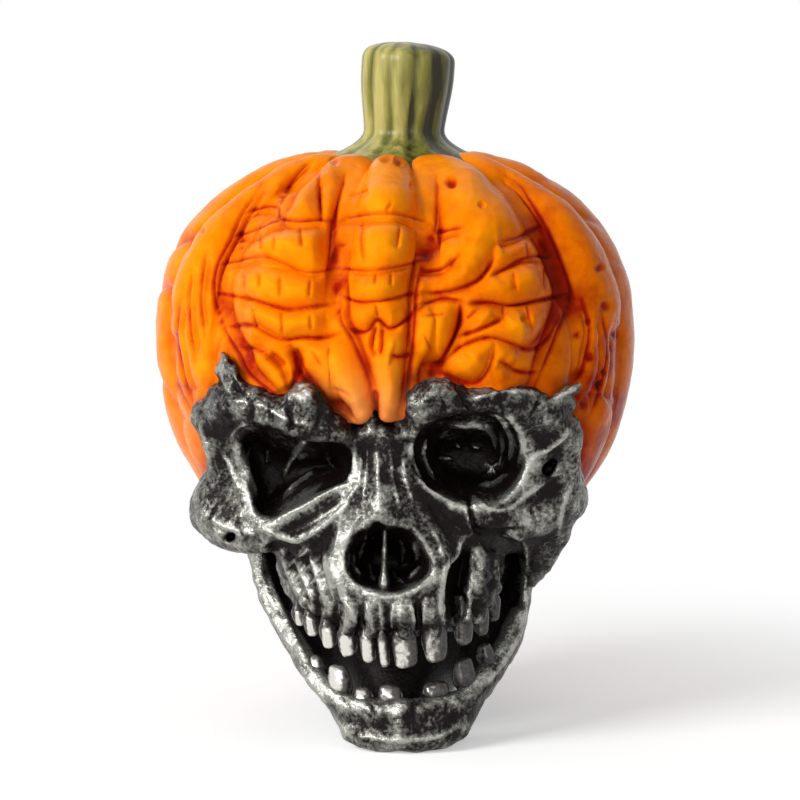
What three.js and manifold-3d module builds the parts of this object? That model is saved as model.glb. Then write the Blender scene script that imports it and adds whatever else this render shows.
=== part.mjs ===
// A pumpkin-capped skull, a cast resin table decoration for Halloween.
// Millimetres, +Z up. The origin is on the floor, under the pumpkin's axis. The face looks along -Y.
import * as THREE from "three";
import { mergeVertices } from "three/addons/utils/BufferGeometryUtils.js";
import Module from "manifold-3d";

const wasm = await Module();
wasm.setup();

// Glue gap between castings that seat on each other
const GLUE_GAP = 0.3;
// Clearance of the shell around the bone that passes through it
const BONE_CLEARANCE = 0.8;

// Pumpkin shell: a lobed hollow cap, measured before its lobes swell
const SHELL_HALF_WIDTH = 48.8;
const SHELL_HALF_DEPTH = 47.8;
const SHELL_EQUATOR_Z = 82;
const SHELL_CROWN = 38;
const SHELL_BELLY = 52;
const SHELL_SQUARENESS = 2.15;
const SHELL_WALL = 9;
const LOBE_SWELL = 3.2;
const LOBE_SEAMS_DEG = [-15.5, 9.5, 50, 76, 110, 145, 180, 215, 250, 284, 310];
const CROWN_DIP = 3.5;
const CROWN_DIP_RADIUS = 20;

// Lines over the front of the shell, in X and in Z above its equator. Seams part the lobes, folds cross
// them, and crests swell out. Each fades over its reach to either side.
const SEAM_DEPTH = 4;
const SEAM_REACH = 7.5;
const FOLD_DEPTH = 3;
const FOLD_REACH = 5.6;
const CREST_HEIGHT = 1.8;
const CREST_REACH = 6.5;
const SEAM_LINES = [
  [[-8.2, 37.7], [-11, 30], [-11.8, 20.6], [-11.4, 11], [-8.4, 2], [-4.5, -9], [-4.1, -14.6]],
  [[7.3, 37.3], [8.4, 30], [7.1, 21.6], [4.3, 11.5], [3.8, 2], [2.4, -8.3], [1, -13.4]],
  [[-24.7, 34.6], [-30.9, 26.3], [-35.7, 15.7], [-34.5, 3.9], [-28.8, -5.6], [-21.8, -11]],
  [[14.4, 37.2], [25.8, 31.2], [33.1, 16.7], [35, 9.7], [32.2, 1.5], [27.2, -9]],
  [[-20.8, 0.6], [-15.8, -5.7], [-9.4, -13]],
  [[13.2, 9.8], [12.4, 4.5], [9.7, -1.1], [6.1, -9]],
];
const FOLD_LINES = [
  [[-16.2, 37], [-20, 33], [-23.6, 27.5]],
  [[-15.2, 34.8], [-14.5, 26]],
  [[-31, 26], [-24, 27.8], [-19, 26], [-11.4, 25]],
  [[-35.5, 15.7], [-26.7, 17.7], [-18.3, 15], [-11.8, 16.5]],
  [[-35.8, 10], [-25, 8], [-11.2, 9.3]],
  [[-34, 3.5], [-26, 2.6], [-13.8, 2.3], [-10.4, 3.6]],
  [[-30.8, 0], [-23, -4], [-21.2, -7.6]],
  [[-11.4, 25], [-2, 27], [7.7, 24.4]],
  [[-11.6, 16.3], [-0.6, 16.3], [5.7, 17.7]],
  [[-11.2, 11], [-2.9, 9.9], [4.5, 11.5]],
  [[-10.4, 4.9], [-7.3, 3.6], [-3.5, 6.1], [1.8, 5.5], [4.1, 7.8]],
  [[8, 23], [13.6, 24]],
  [[5.1, 15.3], [12.8, 18.7]],
  [[4.7, 11.7], [13.2, 12.4], [19, 17.2], [19.8, 20.6]],
  [[20.8, 21], [29, 24]],
  [[19, 14.6], [27, 18], [32, 17.4]],
  [[4.3, 7.6], [10, 10.3], [13.6, 9.3], [23, 8.8], [34.6, 10.6]],
  [[12.8, 2.8], [22.2, 7.4]],
  [[9.3, -2.6], [18.7, 2.4], [26.6, -0.2], [32.6, 6.4]],
  [[8.1, -4], [16.4, -6.4], [20, 1]],
  [[20.7, -2], [28.6, -4.6]],
];
const CREST_LINES = [
  [[-1.9, 34], [-1.8, 24], [-2.9, 13.8], [-5.7, 6.4]],
  [[-29, 20], [-13.8, 20.7]],
  [[-32, 13], [-13.7, 12.4]],
  [[-31, 6.6], [-13.7, 5.6]],
  [[-28.4, -0.7], [-22.4, -9.4]],
  [[-17.2, 0.4], [-9.6, -8.3], [-6.9, -12.6]],
  [[1.4, 3.6], [-1.4, -8.3], [-2.5, -13]],
  [[8.9, 8.3], [6.1, -2]],
  [[15.8, 6.3], [26.7, 3.8]],
  [[14.8, -3.2], [24.7, -2.5]],
];

// Stem: a fluted, slightly leaning stub with root flares, on a spigot
const STEM_HEIGHT = 26.5;
const STEM_TOP_RADIUS = 9.6;
const STEM_WAIST_RADIUS = 8.1;
const STEM_FLARE_RADIUS = 19;
const STEM_LEAN_X = 1.6;
const STEM_TOP_SLANT_DEG = 11;
const STEM_OFFSET_X = 1.2;
const STEM_FLUTES = 9;
const STEM_FLUTE_DEPTH = 0.7;
const SPIGOT_RADIUS = 5;
const SPIGOT_LENGTH = 9;

// The face is set into the shell with a slight roll about this height
const FACE_ROLL_DEG = 5.2;
const FACE_PIVOT_Z = 30;

// Face block of the skull: height, half width and front depth of each level, from palate to brow
const FACE_LEVELS = [
  { z: 23.6, halfWidth: 19, front: 44 },
  { z: 27, halfWidth: 21, front: 46.4 },
  { z: 33, halfWidth: 21.8, front: 46.2 },
  { z: 40, halfWidth: 22.4, front: 45 },
  { z: 45, halfWidth: 26, front: 43.8 },
  { z: 52, halfWidth: 34, front: 43 },
  { z: 60, halfWidth: 35.5, front: 42.5 },
  { z: 67, halfWidth: 34.5, front: 42.5 },
  { z: 76, halfWidth: 28, front: 37 },
];
const FACE_CENTRE_Y = -14;
const FACE_SQUARENESS = 2.8;

// Brow with the outer eye rim, and cheekbone with its arch, on the viewer's left and right
const BROW_LINES = [
  [
    [-4, -42.5, 64.8],
    [-9, -44.2, 66.2],
    [-18.5, -43, 69.9],
    [-24, -39.6, 72.2],
    [-29.5, -35.4, 72],
    [-34, -30, 68.4],
    [-33.4, -28.8, 61],
    [-33.8, -27.4, 53],
  ],
  [
    [2.5, -42.5, 65.4],
    [8, -43.4, 67.2],
    [14.5, -44.2, 68.7],
    [20.5, -43.4, 69.5],
    [27.5, -41, 68.3],
    [33.4, -37, 65],
    [36.4, -32.4, 60],
    [35.6, -28.4, 49],
  ],
];
const BROW_HEIGHT = 7.4;
const BROW_DEPTH = 8;
const CHEEK_LINES = [
  [
    [-15, -40.5, 47.4],
    [-23.2, -37.4, 45.8],
    [-28.6, -33.4, 46.3],
    [-32.9, -29, 48.3],
    [-35.5, -22, 51],
    [-34, -11, 53],
  ],
  [
    [16.5, -41, 47.8],
    [22, -38, 45.4],
    [27, -34.6, 44.6],
    [32, -30.4, 45.8],
    [35.4, -24, 48.8],
    [34, -11, 53],
  ],
];
const CHEEK_HEIGHT = 9;
const CHEEK_DEPTH = 7;
// Splinter of the right cheek that hangs down in front of the jaw
const CHEEK_SPLINTER = [
  [34, -27.8, 46],
  [33, -27.4, 40],
  [30.6, -26.4, 33.6],
];
const SPLINTER_WIDTH = 7;
const SPLINTER_DEPTH = 4.6;
// Share of its section that a bar of bone loses towards its ends
const END_TAPER = 0.5;
const BRIDGE_LINE = [
  [0, -40, 66],
  [0, -42.5, 58],
  [0, -45.6, 50],
];
const BRIDGE_WIDTH = 9;
const BRIDGE_DEPTH = 7;

// Eye sockets, in X and Z round their rims, and nose opening. One socket is drawn out, the other round.
const EYE_RIMS = [
  [
    [-29.2, 66.4],
    [-22.8, 68.4],
    [-14.9, 64.9],
    [-6.6, 62.4],
    [-8.6, 55.6],
    [-17.5, 52.2],
    [-22.5, 49.8],
    [-26.2, 50.4],
    [-28.8, 58],
  ],
  [
    [6.2, 60.4],
    [9.6, 65.4],
    [19, 67.2],
    [26.6, 65.2],
    [30, 58.3],
    [28, 51.8],
    [20.4, 49],
    [10.4, 52.2],
  ],
];
const EYE_Z = 58.4;
const EYE_DEPTH = 20;
const EYE_FLOOR_SHARE = 0.55;
const NOSE_TOP_Z = 48.2;
const NOSE_BOTTOM_Z = 32;
const NOSE_HALF_WIDTH = 8.8;
const NOSE_DEPTH = 14;
const SEPTUM_THICKNESS = 1.4;
const SEPTUM_SET_BACK = 3;

// Torn bone edge that laps onto the pumpkin: foot, tip and foot width of each shard
const SHARDS = [
  { foot: [-29, -37.4, 71], tip: [-29, -37.2, 84], width: 10 },
  { foot: [-16, -45, 69], tip: [-14.4, -46.2, 76], width: 10 },
  { foot: [10.6, -45.6, 68], tip: [12, -47.6, 75], width: 12 },
  { foot: [26, -42.6, 68.6], tip: [27, -43.4, 72.6], width: 9 },
  { foot: [33, -38, 66], tip: [41.6, -31.8, 70.6], width: 8 },
];
const SHARD_THICKNESS = 3.4;

// Shell window that the face shows through: its torn upper edge, in X and Z from one side to the other
const WINDOW_EDGE = [
  [-40.5, 54],
  [-38.6, 66],
  [-34, 72.6],
  [-24, 75],
  [-18, 72],
  [-14.6, 74],
  [-9.2, 69],
  [-3.2, 66],
  [4, 66.6],
  [8, 71],
  [12.2, 73.4],
  [18, 70.6],
  [27.6, 71.4],
  [34, 68.5],
  [38.6, 64],
  [40.5, 54],
];
const WINDOW_SILL_Z = 48;
const WINDOW_BACK_Y = -24;
const RIM_SLOPE_DEG = 22;

// Keel under the skull: half width, front and back of each level, from the floor up
const KEEL_LEVELS = [
  { z: 0, halfWidth: 13, front: 28.5, back: 24 },
  { z: 9, halfWidth: 14, front: 26.5, back: 25 },
  { z: 18, halfWidth: 21, front: 22, back: 28 },
  { z: 28, halfWidth: 27, front: 22, back: 31 },
  { z: 39, halfWidth: 29, front: 24, back: 33 },
  { z: 50, halfWidth: 29, front: 24, back: 33 },
];
const KEEL_CENTRE_Y = 8;
const KEEL_SQUARENESS = 2.1;
const CAVITY_WALL = 6;
const POUR_HOLE_RADIUS = 9;
const PLUG_RADIUS = 10.5;
const PLUG_THICKNESS = 4;

// Lower jaw: half of its centre line from chin to condyle, with its height and thickness
const JAW_LINE = [
  { at: [0, -38.4, 5.2], height: 13, thickness: 8.4 },
  { at: [8.4, -37, 5.2], height: 13, thickness: 8.4 },
  { at: [14, -31.5, 9.4], height: 12, thickness: 7.6 },
  { at: [20.6, -24, 17], height: 11.5, thickness: 6.6 },
  { at: [25.6, -17.5, 25.5], height: 12, thickness: 5.6 },
  { at: [27.8, -15.5, 34], height: 12, thickness: 5 },
  { at: [28.4, -15, 42], height: 10, thickness: 5 },
];
const JAW_SQUARENESS = 3;
const CONDYLE_RADIUS = 2;
const CONDYLE_LENGTH = 5;
const JOINT_BOSS_RADIUS = 5.2;
const JOINT_BOSS_LENGTH = 9;

// Teeth, viewer's left to right: place along the arch, crown width, gum line and cutting edge
const UPPER_TEETH = [
  { x: -19.4, width: 2.6, gum: 30, edge: 26.2 },
  { x: -17, width: 2.9, gum: 29.2, edge: 24.3 },
  { x: -13.8, width: 3.4, gum: 27.6, edge: 22.2 },
  { x: -10, width: 3.9, gum: 26.4, edge: 20.6 },
  { x: -6, width: 3.2, gum: 26, edge: 19.4 },
  { x: -2.9, width: 2.3, gum: 25.8, edge: 18.4 },
  { x: 1.3, width: 5.2, gum: 25.8, edge: 17.8 },
  { x: 7.3, width: 5.3, gum: 26, edge: 18.2 },
  { x: 13.2, width: 3.9, gum: 26.6, edge: 20.4 },
  { x: 16.8, width: 3, gum: 28.2, edge: 21.4 },
  { x: 19.4, width: 2.6, gum: 29.4, edge: 23.6 },
];
const LOWER_TEETH = [
  { x: -17.2, width: 3.2, gum: 14.6, edge: 19.4 },
  { x: -12.8, width: 5.2, gum: 11.4, edge: 17.8 },
  { x: -8, width: 3.8, gum: 10.6, edge: 13.4 },
  { x: -2.6, width: 4.8, gum: 10.4, edge: 13.8 },
  { x: 6.6, width: 5.4, gum: 10.4, edge: 13.4 },
  { x: 12.6, width: 5, gum: 11, edge: 17.2 },
  { x: 17.2, width: 3.2, gum: 14.6, edge: 19 },
];
const UPPER_ARCH_FRONT = 44.2;
const LOWER_ARCH_FRONT = 39.4;
const ARCH_CURVE = 0.031;
const TOOTH_DEPTH = 4.4;
const ROOT_SHARE = 0.55;
const ROOT_LENGTH = 5;
// Ridge of bone over the root of each upper tooth
const RIDGE_LENGTH = 8;
const RIDGE_SHARE = 0.36;
const RIDGE_LEAN = 0.93;
const RIDGE_SINK = 0.5;

// Facets
const RING_POINTS = 24;
const INNER_RINGS = 8;
const INNER_POINTS = 16;
const FRONT_STEP_DEG = 3.5;
const BACK_STEP_DEG = 12;
const FRONT_REACH_DEG = 76;
const LOW_ROWS = 3;
const LOW_LATITUDE = -28;
const FOLD_ROWS = 27;
const HIGH_LATITUDE = 66;
const HIGH_ROWS = 3;
const LINE_STEPS = 4;
const SWEEP_POINTS = 8;
const SWEEP_STEPS = 7;
const TOOTH_POINTS = 8;
const FLUTE_POINTS = 3;

// Colours, as painted on the resin
const PAINT = {
  pumpkin: { color: 0xf08a10, roughness: 0.45, metalness: 0 },
  stem: { color: 0x7c7a3a, roughness: 0.35, metalness: 0 },
  bone: { color: 0x3a3a3c, roughness: 0.42, metalness: 0.55 },
  tooth: { color: 0x8c8a88, roughness: 0.4, metalness: 0.55 },
  plug: { color: 0x242425, roughness: 0.7, metalness: 0 },
};

const radians = THREE.MathUtils.degToRad;
const point = (x, y, z) => new THREE.Vector3(x, y, z);
const signedPower = (value, power) => Math.sign(value) * Math.abs(value) ** power;

// A closed geometry as a solid, turned right side out.
function solid(geometry) {
  const bare = geometry.clone();
  bare.deleteAttribute("normal");
  bare.deleteAttribute("uv");
  const merged = mergeVertices(bare, 1e-4);
  const mesh = { numProp: 3, vertProperties: merged.attributes.position.array };
  const faces = new Uint32Array(merged.index.array);
  const made = new wasm.Manifold(new wasm.Mesh({ ...mesh, triVerts: faces }));
  if (made.volume() > 0) return made;
  return new wasm.Manifold(new wasm.Mesh({ ...mesh, triVerts: faces.reverse() }));
}

// A solid back as a geometry.
function geometryOf(made) {
  const { numProp, vertProperties, triVerts } = made.getMesh();
  const geometry = new THREE.BufferGeometry();
  const buffer = new THREE.InterleavedBuffer(vertProperties, numProp);
  geometry.setAttribute("position", new THREE.InterleavedBufferAttribute(buffer, 3, 0));
  geometry.setIndex(new THREE.BufferAttribute(triVerts, 1));
  return geometry.toNonIndexed();
}

// Joins rings with equal point counts into one closed skin, with a fan over each end.
function loft(rings) {
  const count = rings[0].length;
  const points = rings.flat();
  const index = [];
  for (let ring = 0; ring < rings.length - 1; ring++) {
    for (let i = 0; i < count; i++) {
      const a = ring * count + i;
      const b = ring * count + ((i + 1) % count);
      index.push(a, b, b + count, a, b + count, a + count);
    }
  }
  for (const [ring, flip] of [[0, true], [rings.length - 1, false]]) {
    const centre = new THREE.Vector3();
    rings[ring].forEach((p) => centre.addScaledVector(p, 1 / count));
    points.push(centre);
    for (let i = 0; i < count; i++) {
      const a = ring * count + i;
      const b = ring * count + ((i + 1) % count);
      index.push(points.length - 1, flip ? b : a, flip ? a : b);
    }
  }
  return new THREE.BufferGeometry().setFromPoints(points).setIndex(index);
}

// A rounded ring in the plane of two half axes about a centre.
function ring(centre, halfA, halfB, squareness, count) {
  return Array.from({ length: count }, (_, i) => {
    const angle = (i / count) * 2 * Math.PI;
    const a = signedPower(Math.cos(angle), 2 / squareness);
    const b = signedPower(Math.sin(angle), 2 / squareness);
    return centre.clone().addScaledVector(halfA, a).addScaledVector(halfB, b);
  });
}

// A level of a block that is deeper in front than behind, or the other way round.
function level({ z, halfWidth, front, back }, centreY, squareness, grow) {
  const flat = ring(point(0, 0, z), point(1, 0, 0), point(0, 1, 0), squareness, RING_POINTS);
  return flat.map((p) => {
    const depth = p.y < 0 ? front + centreY + grow : back - centreY + grow;
    return point(p.x * (halfWidth + grow), centreY + p.y * depth, z);
  });
}

// A round bar along a line of points, slimmer at its ends. Its depth is measured along the lead direction,
// its width across it.
function sweep(line, width, depth, grow, lead) {
  const curve = new THREE.CatmullRomCurve3(line.map((p) => point(...p)));
  const rings = [];
  for (let step = 0; step <= SWEEP_STEPS; step++) {
    const share = step / SWEEP_STEPS;
    const along = curve.getTangentAt(share);
    const full = 1 - END_TAPER * (2 * share - 1) ** 4;
    const halfB = lead.clone().cross(along).normalize().multiplyScalar((full * width) / 2 + grow);
    const halfA = along.clone().cross(halfB).normalize().multiplyScalar((full * depth) / 2 + grow);
    const centre = curve.getPointAt(share).addScaledVector(along, (2 * share - 1) * grow);
    rings.push(ring(centre, halfA, halfB, 2, SWEEP_POINTS));
  }
  return solid(loft(rings));
}

// A straight cylinder between two points.
function rod(from, to, radius) {
  const geometry = new THREE.CylinderGeometry(radius, radius, from.distanceTo(to), RING_POINTS / 2);
  const turn = new THREE.Quaternion().setFromUnitVectors(point(0, 1, 0), to.clone().sub(from).normalize());
  geometry.applyQuaternion(turn).translate(...from.clone().lerp(to, 0.5).toArray());
  return solid(geometry);
}

const union = (solids) => solids.reduce((all, next) => all.add(next));
// The main body of a cut solid, without the offcuts that a cut can leave loose.
const mainBody = (made) =>
  made.decompose().reduce((most, next) => (next.volume() > most.volume() ? next : most));

// Root of the model, and the rolled frame that the face is built in
const root = new THREE.Group();
const roll = new THREE.Group();
roll.position.z = FACE_PIVOT_Z;
roll.rotation.y = -radians(FACE_ROLL_DEG);
const face = new THREE.Group();
face.position.z = -FACE_PIVOT_Z;
roll.add(face);
root.add(roll);
root.updateMatrixWorld(true);
const fromFace = [...face.matrixWorld.elements];
const toFace = [...face.matrixWorld.clone().invert().elements];

// Pumpkin

const turned = (degrees) => THREE.MathUtils.euclideanModulo(degrees, 360);
const lobeSeams = LOBE_SEAMS_DEG.map(turned).sort((a, b) => a - b);
const lobes = lobeSeams.map((low, i) => [low, lobeSeams[i + 1] ?? lobeSeams[0] + 360]);

// How far a lobe swells at an azimuth, from 0 in a seam to 1 on its crest.
function lobe(azimuth) {
  const turn = turned(azimuth - lobeSeams[0]) + lobeSeams[0];
  const [low, high] = lobes.find(([, end]) => turn <= end);
  return Math.max(0, Math.sin((Math.PI * (turn - low)) / (high - low))) ** 0.6;
}

// Smooth lines through points in X and Z, as short straight steps.
const drawn = (lines) =>
  lines.map((line) => {
    const curve = new THREE.SplineCurve(line.map((p) => new THREE.Vector2(...p)));
    return curve.getPoints(LINE_STEPS * (line.length - 1));
  });
const seamLines = drawn(SEAM_LINES);
const foldLines = drawn(FOLD_LINES);
const crestLines = drawn(CREST_LINES);

// Distance from a place in X and Z to a drawn line.
function distanceTo(line, place) {
  const steps = line.slice(1).map((to, i) => {
    const step = to.clone().sub(line[i]);
    const share = THREE.MathUtils.clamp(place.clone().sub(line[i]).dot(step) / step.lengthSq(), 0, 1);
    return place.distanceTo(step.multiplyScalar(share).add(line[i]));
  });
  return Math.min(...steps);
}

// How far lines mark a place. Where marks meet, the deeper one leads and they blend.
function marked(lines, place, reach, depth, section) {
  return lines.reduce((sum, line) => {
    const share = Math.max(0, 1 - distanceTo(line, place) / reach);
    return sum + (depth * section(share)) ** 3;
  }, 0);
}

// Height of the folded front over the plain lobes, at a place in X and in Z above the equator.
function relief(x, rise) {
  const place = new THREE.Vector2(x, rise);
  const crease = (share) => share ** 1.5;
  const dome = (share) => (1 - (1 - share) ** 2) ** 2;
  const seams = marked(seamLines, place, SEAM_REACH, SEAM_DEPTH, crease);
  const folds = marked(foldLines, place, FOLD_REACH, FOLD_DEPTH, crease);
  const crests = marked(crestLines, place, CREST_REACH, CREST_HEIGHT, dome);
  return Math.cbrt(crests) - Math.cbrt(seams + folds);
}

// A point of the shell's surface. The latitude runs from -90 at the bottom to 90 at the stem.
function shellPoint(azimuth, latitude, inset, lobed) {
  const out = Math.cos(radians(latitude)) ** (2 / SHELL_SQUARENESS);
  const up = signedPower(Math.sin(radians(latitude)), 2 / SHELL_SQUARENESS);
  const rise = (latitude > 0 ? SHELL_CROWN : SHELL_BELLY) - inset;
  const swell = lobed ? LOBE_SWELL * (lobe(azimuth) - 0.2) * Math.cbrt(out) : 0;
  const x = ((SHELL_HALF_WIDTH - inset) * out + swell) * Math.sin(radians(azimuth));
  const y = -((SHELL_HALF_DEPTH - inset) * out + swell) * Math.cos(radians(azimuth));
  const near = 1 - THREE.MathUtils.smoothstep(Math.hypot(x, y), 0, CROWN_DIP_RADIUS);
  const crest = swell * Math.max(0, up) * (1 - near);
  const high = rise * up + crest - (latitude > 0 ? CROWN_DIP * near : 0);
  const plain = point(x, y, SHELL_EQUATOR_Z + high);
  if (!lobed || y > 0) return plain;
  const normal = point(x / SHELL_HALF_WIDTH ** 2, y / SHELL_HALF_DEPTH ** 2, high / rise ** 2).normalize();
  return plain.addScaledVector(normal, relief(x, high) * THREE.MathUtils.smoothstep(-y, 0, SEAM_REACH));
}

// Even steps from a low value up to a high one, which is left out.
const evenly = (low, high, count) =>
  Array.from({ length: count }, (_, i) => low + ((high - low) * i) / count);

// Azimuths of the columns of the outer skin. Each lobe seam is a column, and the front has more of them.
function skinColumns() {
  return lobes.flatMap(([low, high]) => {
    const middle = turned((low + high) / 2 + 180) - 180;
    const step = Math.abs(middle) < FRONT_REACH_DEG ? FRONT_STEP_DEG : BACK_STEP_DEG;
    return evenly(low, high, Math.ceil((high - low) / step));
  });
}

// Latitudes of the rows of the outer skin, with most of them over the folds.
function skinRows() {
  return [
    ...evenly(-90, LOW_LATITUDE, LOW_ROWS).slice(1),
    ...evenly(LOW_LATITUDE, HIGH_LATITUDE, FOLD_ROWS),
    ...evenly(HIGH_LATITUDE, 90, HIGH_ROWS),
  ];
}

// The folded outside of the shell as a closed solid, grown by an offset.
function outerSkin(grow) {
  const columns = skinColumns();
  const row = (latitude) => columns.map((azimuth) => shellPoint(azimuth, latitude, -grow, true));
  return solid(loft(skinRows().map(row)));
}

// The plain shell as a closed solid, drawn in from the outside by an inset.
function innerSkin(inset) {
  const columns = evenly(-180, 180, INNER_POINTS);
  const row = (latitude) => columns.map((azimuth) => shellPoint(azimuth, latitude, inset, false));
  return solid(loft(evenly(-90, 90, INNER_RINGS).slice(1).map(row)));
}

const shellInside = () => innerSkin(SHELL_WALL);
const craniumDome = () => innerSkin(SHELL_WALL + GLUE_GAP);

// The window in the front of the shell and the slope of its lower rim, in the frame of the face.
function faceWindow() {
  const outline = new THREE.Shape();
  outline.moveTo(WINDOW_EDGE[0][0], WINDOW_SILL_Z);
  outline.lineTo(...WINDOW_EDGE[0]);
  outline.splineThru(WINDOW_EDGE.slice(1).map((p) => new THREE.Vector2(...p)));
  outline.lineTo(WINDOW_EDGE[WINDOW_EDGE.length - 1][0], WINDOW_SILL_Z);
  const reach = 2 * SHELL_HALF_DEPTH;
  const prism = new THREE.ExtrudeGeometry(outline, { depth: reach, bevelEnabled: false, curveSegments: 2 });
  prism.rotateX(Math.PI / 2).translate(0, WINDOW_BACK_Y, 0);
  const under = new THREE.BoxGeometry(4 * SHELL_HALF_WIDTH, 2 * reach, reach).translate(0, 0, -reach / 2);
  under.rotateX(-radians(RIM_SLOPE_DEG)).translate(0, WINDOW_BACK_Y, WINDOW_SILL_Z + GLUE_GAP);
  return solid(prism).add(solid(under));
}

// Stem

const STEM_FOOT_Z = SHELL_EQUATOR_Z + SHELL_CROWN - CROWN_DIP;

// One fluted ring of the stem at a share of its height.
function stemRing(share) {
  const low = (1 - THREE.MathUtils.smoothstep(share, 0, 0.34)) ** 2;
  const flare = (STEM_FLARE_RADIUS - STEM_WAIST_RADIUS) * low;
  const spread = (STEM_TOP_RADIUS - STEM_WAIST_RADIUS) * THREE.MathUtils.smoothstep(share, 0.3, 0.8);
  const shoulder = Math.sqrt(Math.max(0, 1 - (Math.max(0, share - 0.86) / 0.145) ** 2));
  const radius = (STEM_WAIST_RADIUS + flare + spread) * shoulder;
  const x = STEM_OFFSET_X + STEM_LEAN_X * share;
  const count = STEM_FLUTES * FLUTE_POINTS;
  return Array.from({ length: count }, (_, i) => {
    const angle = (i / count) * 2 * Math.PI;
    const flute = STEM_FLUTE_DEPTH * Math.cos(STEM_FLUTES * angle) * shoulder;
    const r = radius + flute * (1 + flare / STEM_WAIST_RADIUS);
    const slant = r * Math.cos(angle) * Math.tan(radians(STEM_TOP_SLANT_DEG)) * Math.max(0, share) ** 2;
    return point(x + r * Math.cos(angle), r * Math.sin(angle), STEM_FOOT_Z + STEM_HEIGHT * share - slant);
  });
}

function stemSolid(shellOutside) {
  const shares = [-0.1, 0, 0.07, 0.15, 0.25, 0.4, 0.6, 0.8, 0.9, 0.96, 1];
  const stub = solid(loft(shares.map((share) => stemRing(share))));
  const foot = point(STEM_OFFSET_X, 0, STEM_FOOT_Z + CROWN_DIP);
  const spigot = rod(point(STEM_OFFSET_X, 0, STEM_FOOT_Z - SPIGOT_LENGTH), foot, SPIGOT_RADIUS);
  return stub.subtract(shellOutside).add(spigot);
}

// The socket that the spigot seats in, through the shell and into the crown of the skull.
function spigotSocket() {
  const deep = point(STEM_OFFSET_X, 0, STEM_FOOT_Z - SPIGOT_LENGTH - GLUE_GAP);
  const high = point(STEM_OFFSET_X, 0, STEM_FOOT_Z + STEM_HEIGHT);
  return rod(deep, high, SPIGOT_RADIUS + GLUE_GAP);
}

// Skull

// The outer forms of the face, before its openings are cut, grown by an offset.
function faceForms(grow) {
  const levels = FACE_LEVELS.map((row) => level({ ...row, back: 0 }, FACE_CENTRE_Y, FACE_SQUARENESS, grow));
  const front = point(0, -1, 0);
  const up = point(0, 0, 1);
  const forms = [solid(loft(levels)), sweep(BRIDGE_LINE, BRIDGE_WIDTH, BRIDGE_DEPTH, grow, front)];
  for (const line of BROW_LINES) forms.push(sweep(line, BROW_HEIGHT, BROW_DEPTH, grow, front));
  for (const line of CHEEK_LINES) forms.push(sweep(line, CHEEK_DEPTH, CHEEK_HEIGHT, grow, up));
  forms.push(sweep(CHEEK_SPLINTER, SPLINTER_WIDTH, SPLINTER_DEPTH, grow, front));
  for (const side of [-1, 1]) forms.push(jointBoss(side, grow));
  for (const shard of SHARDS) forms.push(shardSolid(shard, grow));
  return union(forms);
}

// A flat splinter of bone that lies on the pumpkin and narrows to its tip.
function shardSolid({ foot, tip, width }, grow) {
  const from = point(...foot);
  const to = point(...tip);
  const along = to.clone().sub(from).normalize();
  const across = along.clone().cross(point(from.x, from.y, 0)).normalize();
  const out = across.clone().cross(along).normalize();
  const rings = [1, 0.8, 0.5, 0.1].map((share, i) => {
    const centre = from.clone().lerp(to, i / 3).addScaledVector(along, (2 * i / 3 - 1) * grow);
    const halfA = across.clone().multiplyScalar((width / 2) * share + grow);
    const halfB = out.clone().multiplyScalar((SHARD_THICKNESS / 2) * (0.5 + share / 2) + grow);
    return ring(centre, halfA, halfB, 2, SWEEP_POINTS);
  });
  return solid(loft(rings));
}

// A pocket that narrows from an outline on the face to its floor.
function pocket(outline, frontY, depth, floorShare) {
  const mean = (axis) => outline.reduce((sum, place) => sum + place[axis] / outline.length, 0);
  const middle = [mean(0), mean(1)];
  const shares = [1.25, 1, 0.92, floorShare];
  const depths = [-0.35 * depth, 0.25 * depth, 0.6 * depth, depth];
  const rings = shares.map((share, i) =>
    outline.map(([x, z]) =>
      point(middle[0] + (x - middle[0]) * share, frontY + depths[i], middle[1] + (z - middle[1]) * share),
    ),
  );
  return solid(loft(rings));
}

// A smooth closed outline through the points of a rim.
function rimOutline(rim) {
  const curve = new THREE.CatmullRomCurve3(rim.map(([x, z]) => point(x, 0, z)), true);
  return curve.getPoints(20).slice(1).map((p) => [p.x, p.z]);
}

// The pear outline of the nose opening.
function noseOutline() {
  const half = (NOSE_TOP_Z - NOSE_BOTTOM_Z) / 2;
  return Array.from({ length: 16 }, (_, i) => {
    const angle = (i / 16) * 2 * Math.PI;
    const rise = Math.sin(angle);
    const width = NOSE_HALF_WIDTH * (0.93 - 0.4 * rise) * Math.cos(angle);
    return [width, NOSE_BOTTOM_Z + half + half * rise];
  });
}

// Depth along Y of the front of the face block at a height, and away from its middle.
function faceFrontAt(z, x = 0) {
  const above = FACE_LEVELS.findIndex((row) => row.z > z);
  const [low, high] = [FACE_LEVELS[above - 1], FACE_LEVELS[above]];
  const share = (z - low.z) / (high.z - low.z);
  const halfWidth = THREE.MathUtils.lerp(low.halfWidth, high.halfWidth, share);
  const front = THREE.MathUtils.lerp(low.front, high.front, share);
  const round = (1 - Math.min(1, Math.abs(x) / halfWidth) ** FACE_SQUARENESS) ** (1 / FACE_SQUARENESS);
  return FACE_CENTRE_Y - (front + FACE_CENTRE_Y) * round;
}
const NOSE_FRONT_Y = faceFrontAt((NOSE_TOP_Z + NOSE_BOTTOM_Z) / 2);
const EYE_FRONT_Y = faceFrontAt(EYE_Z);

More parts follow.
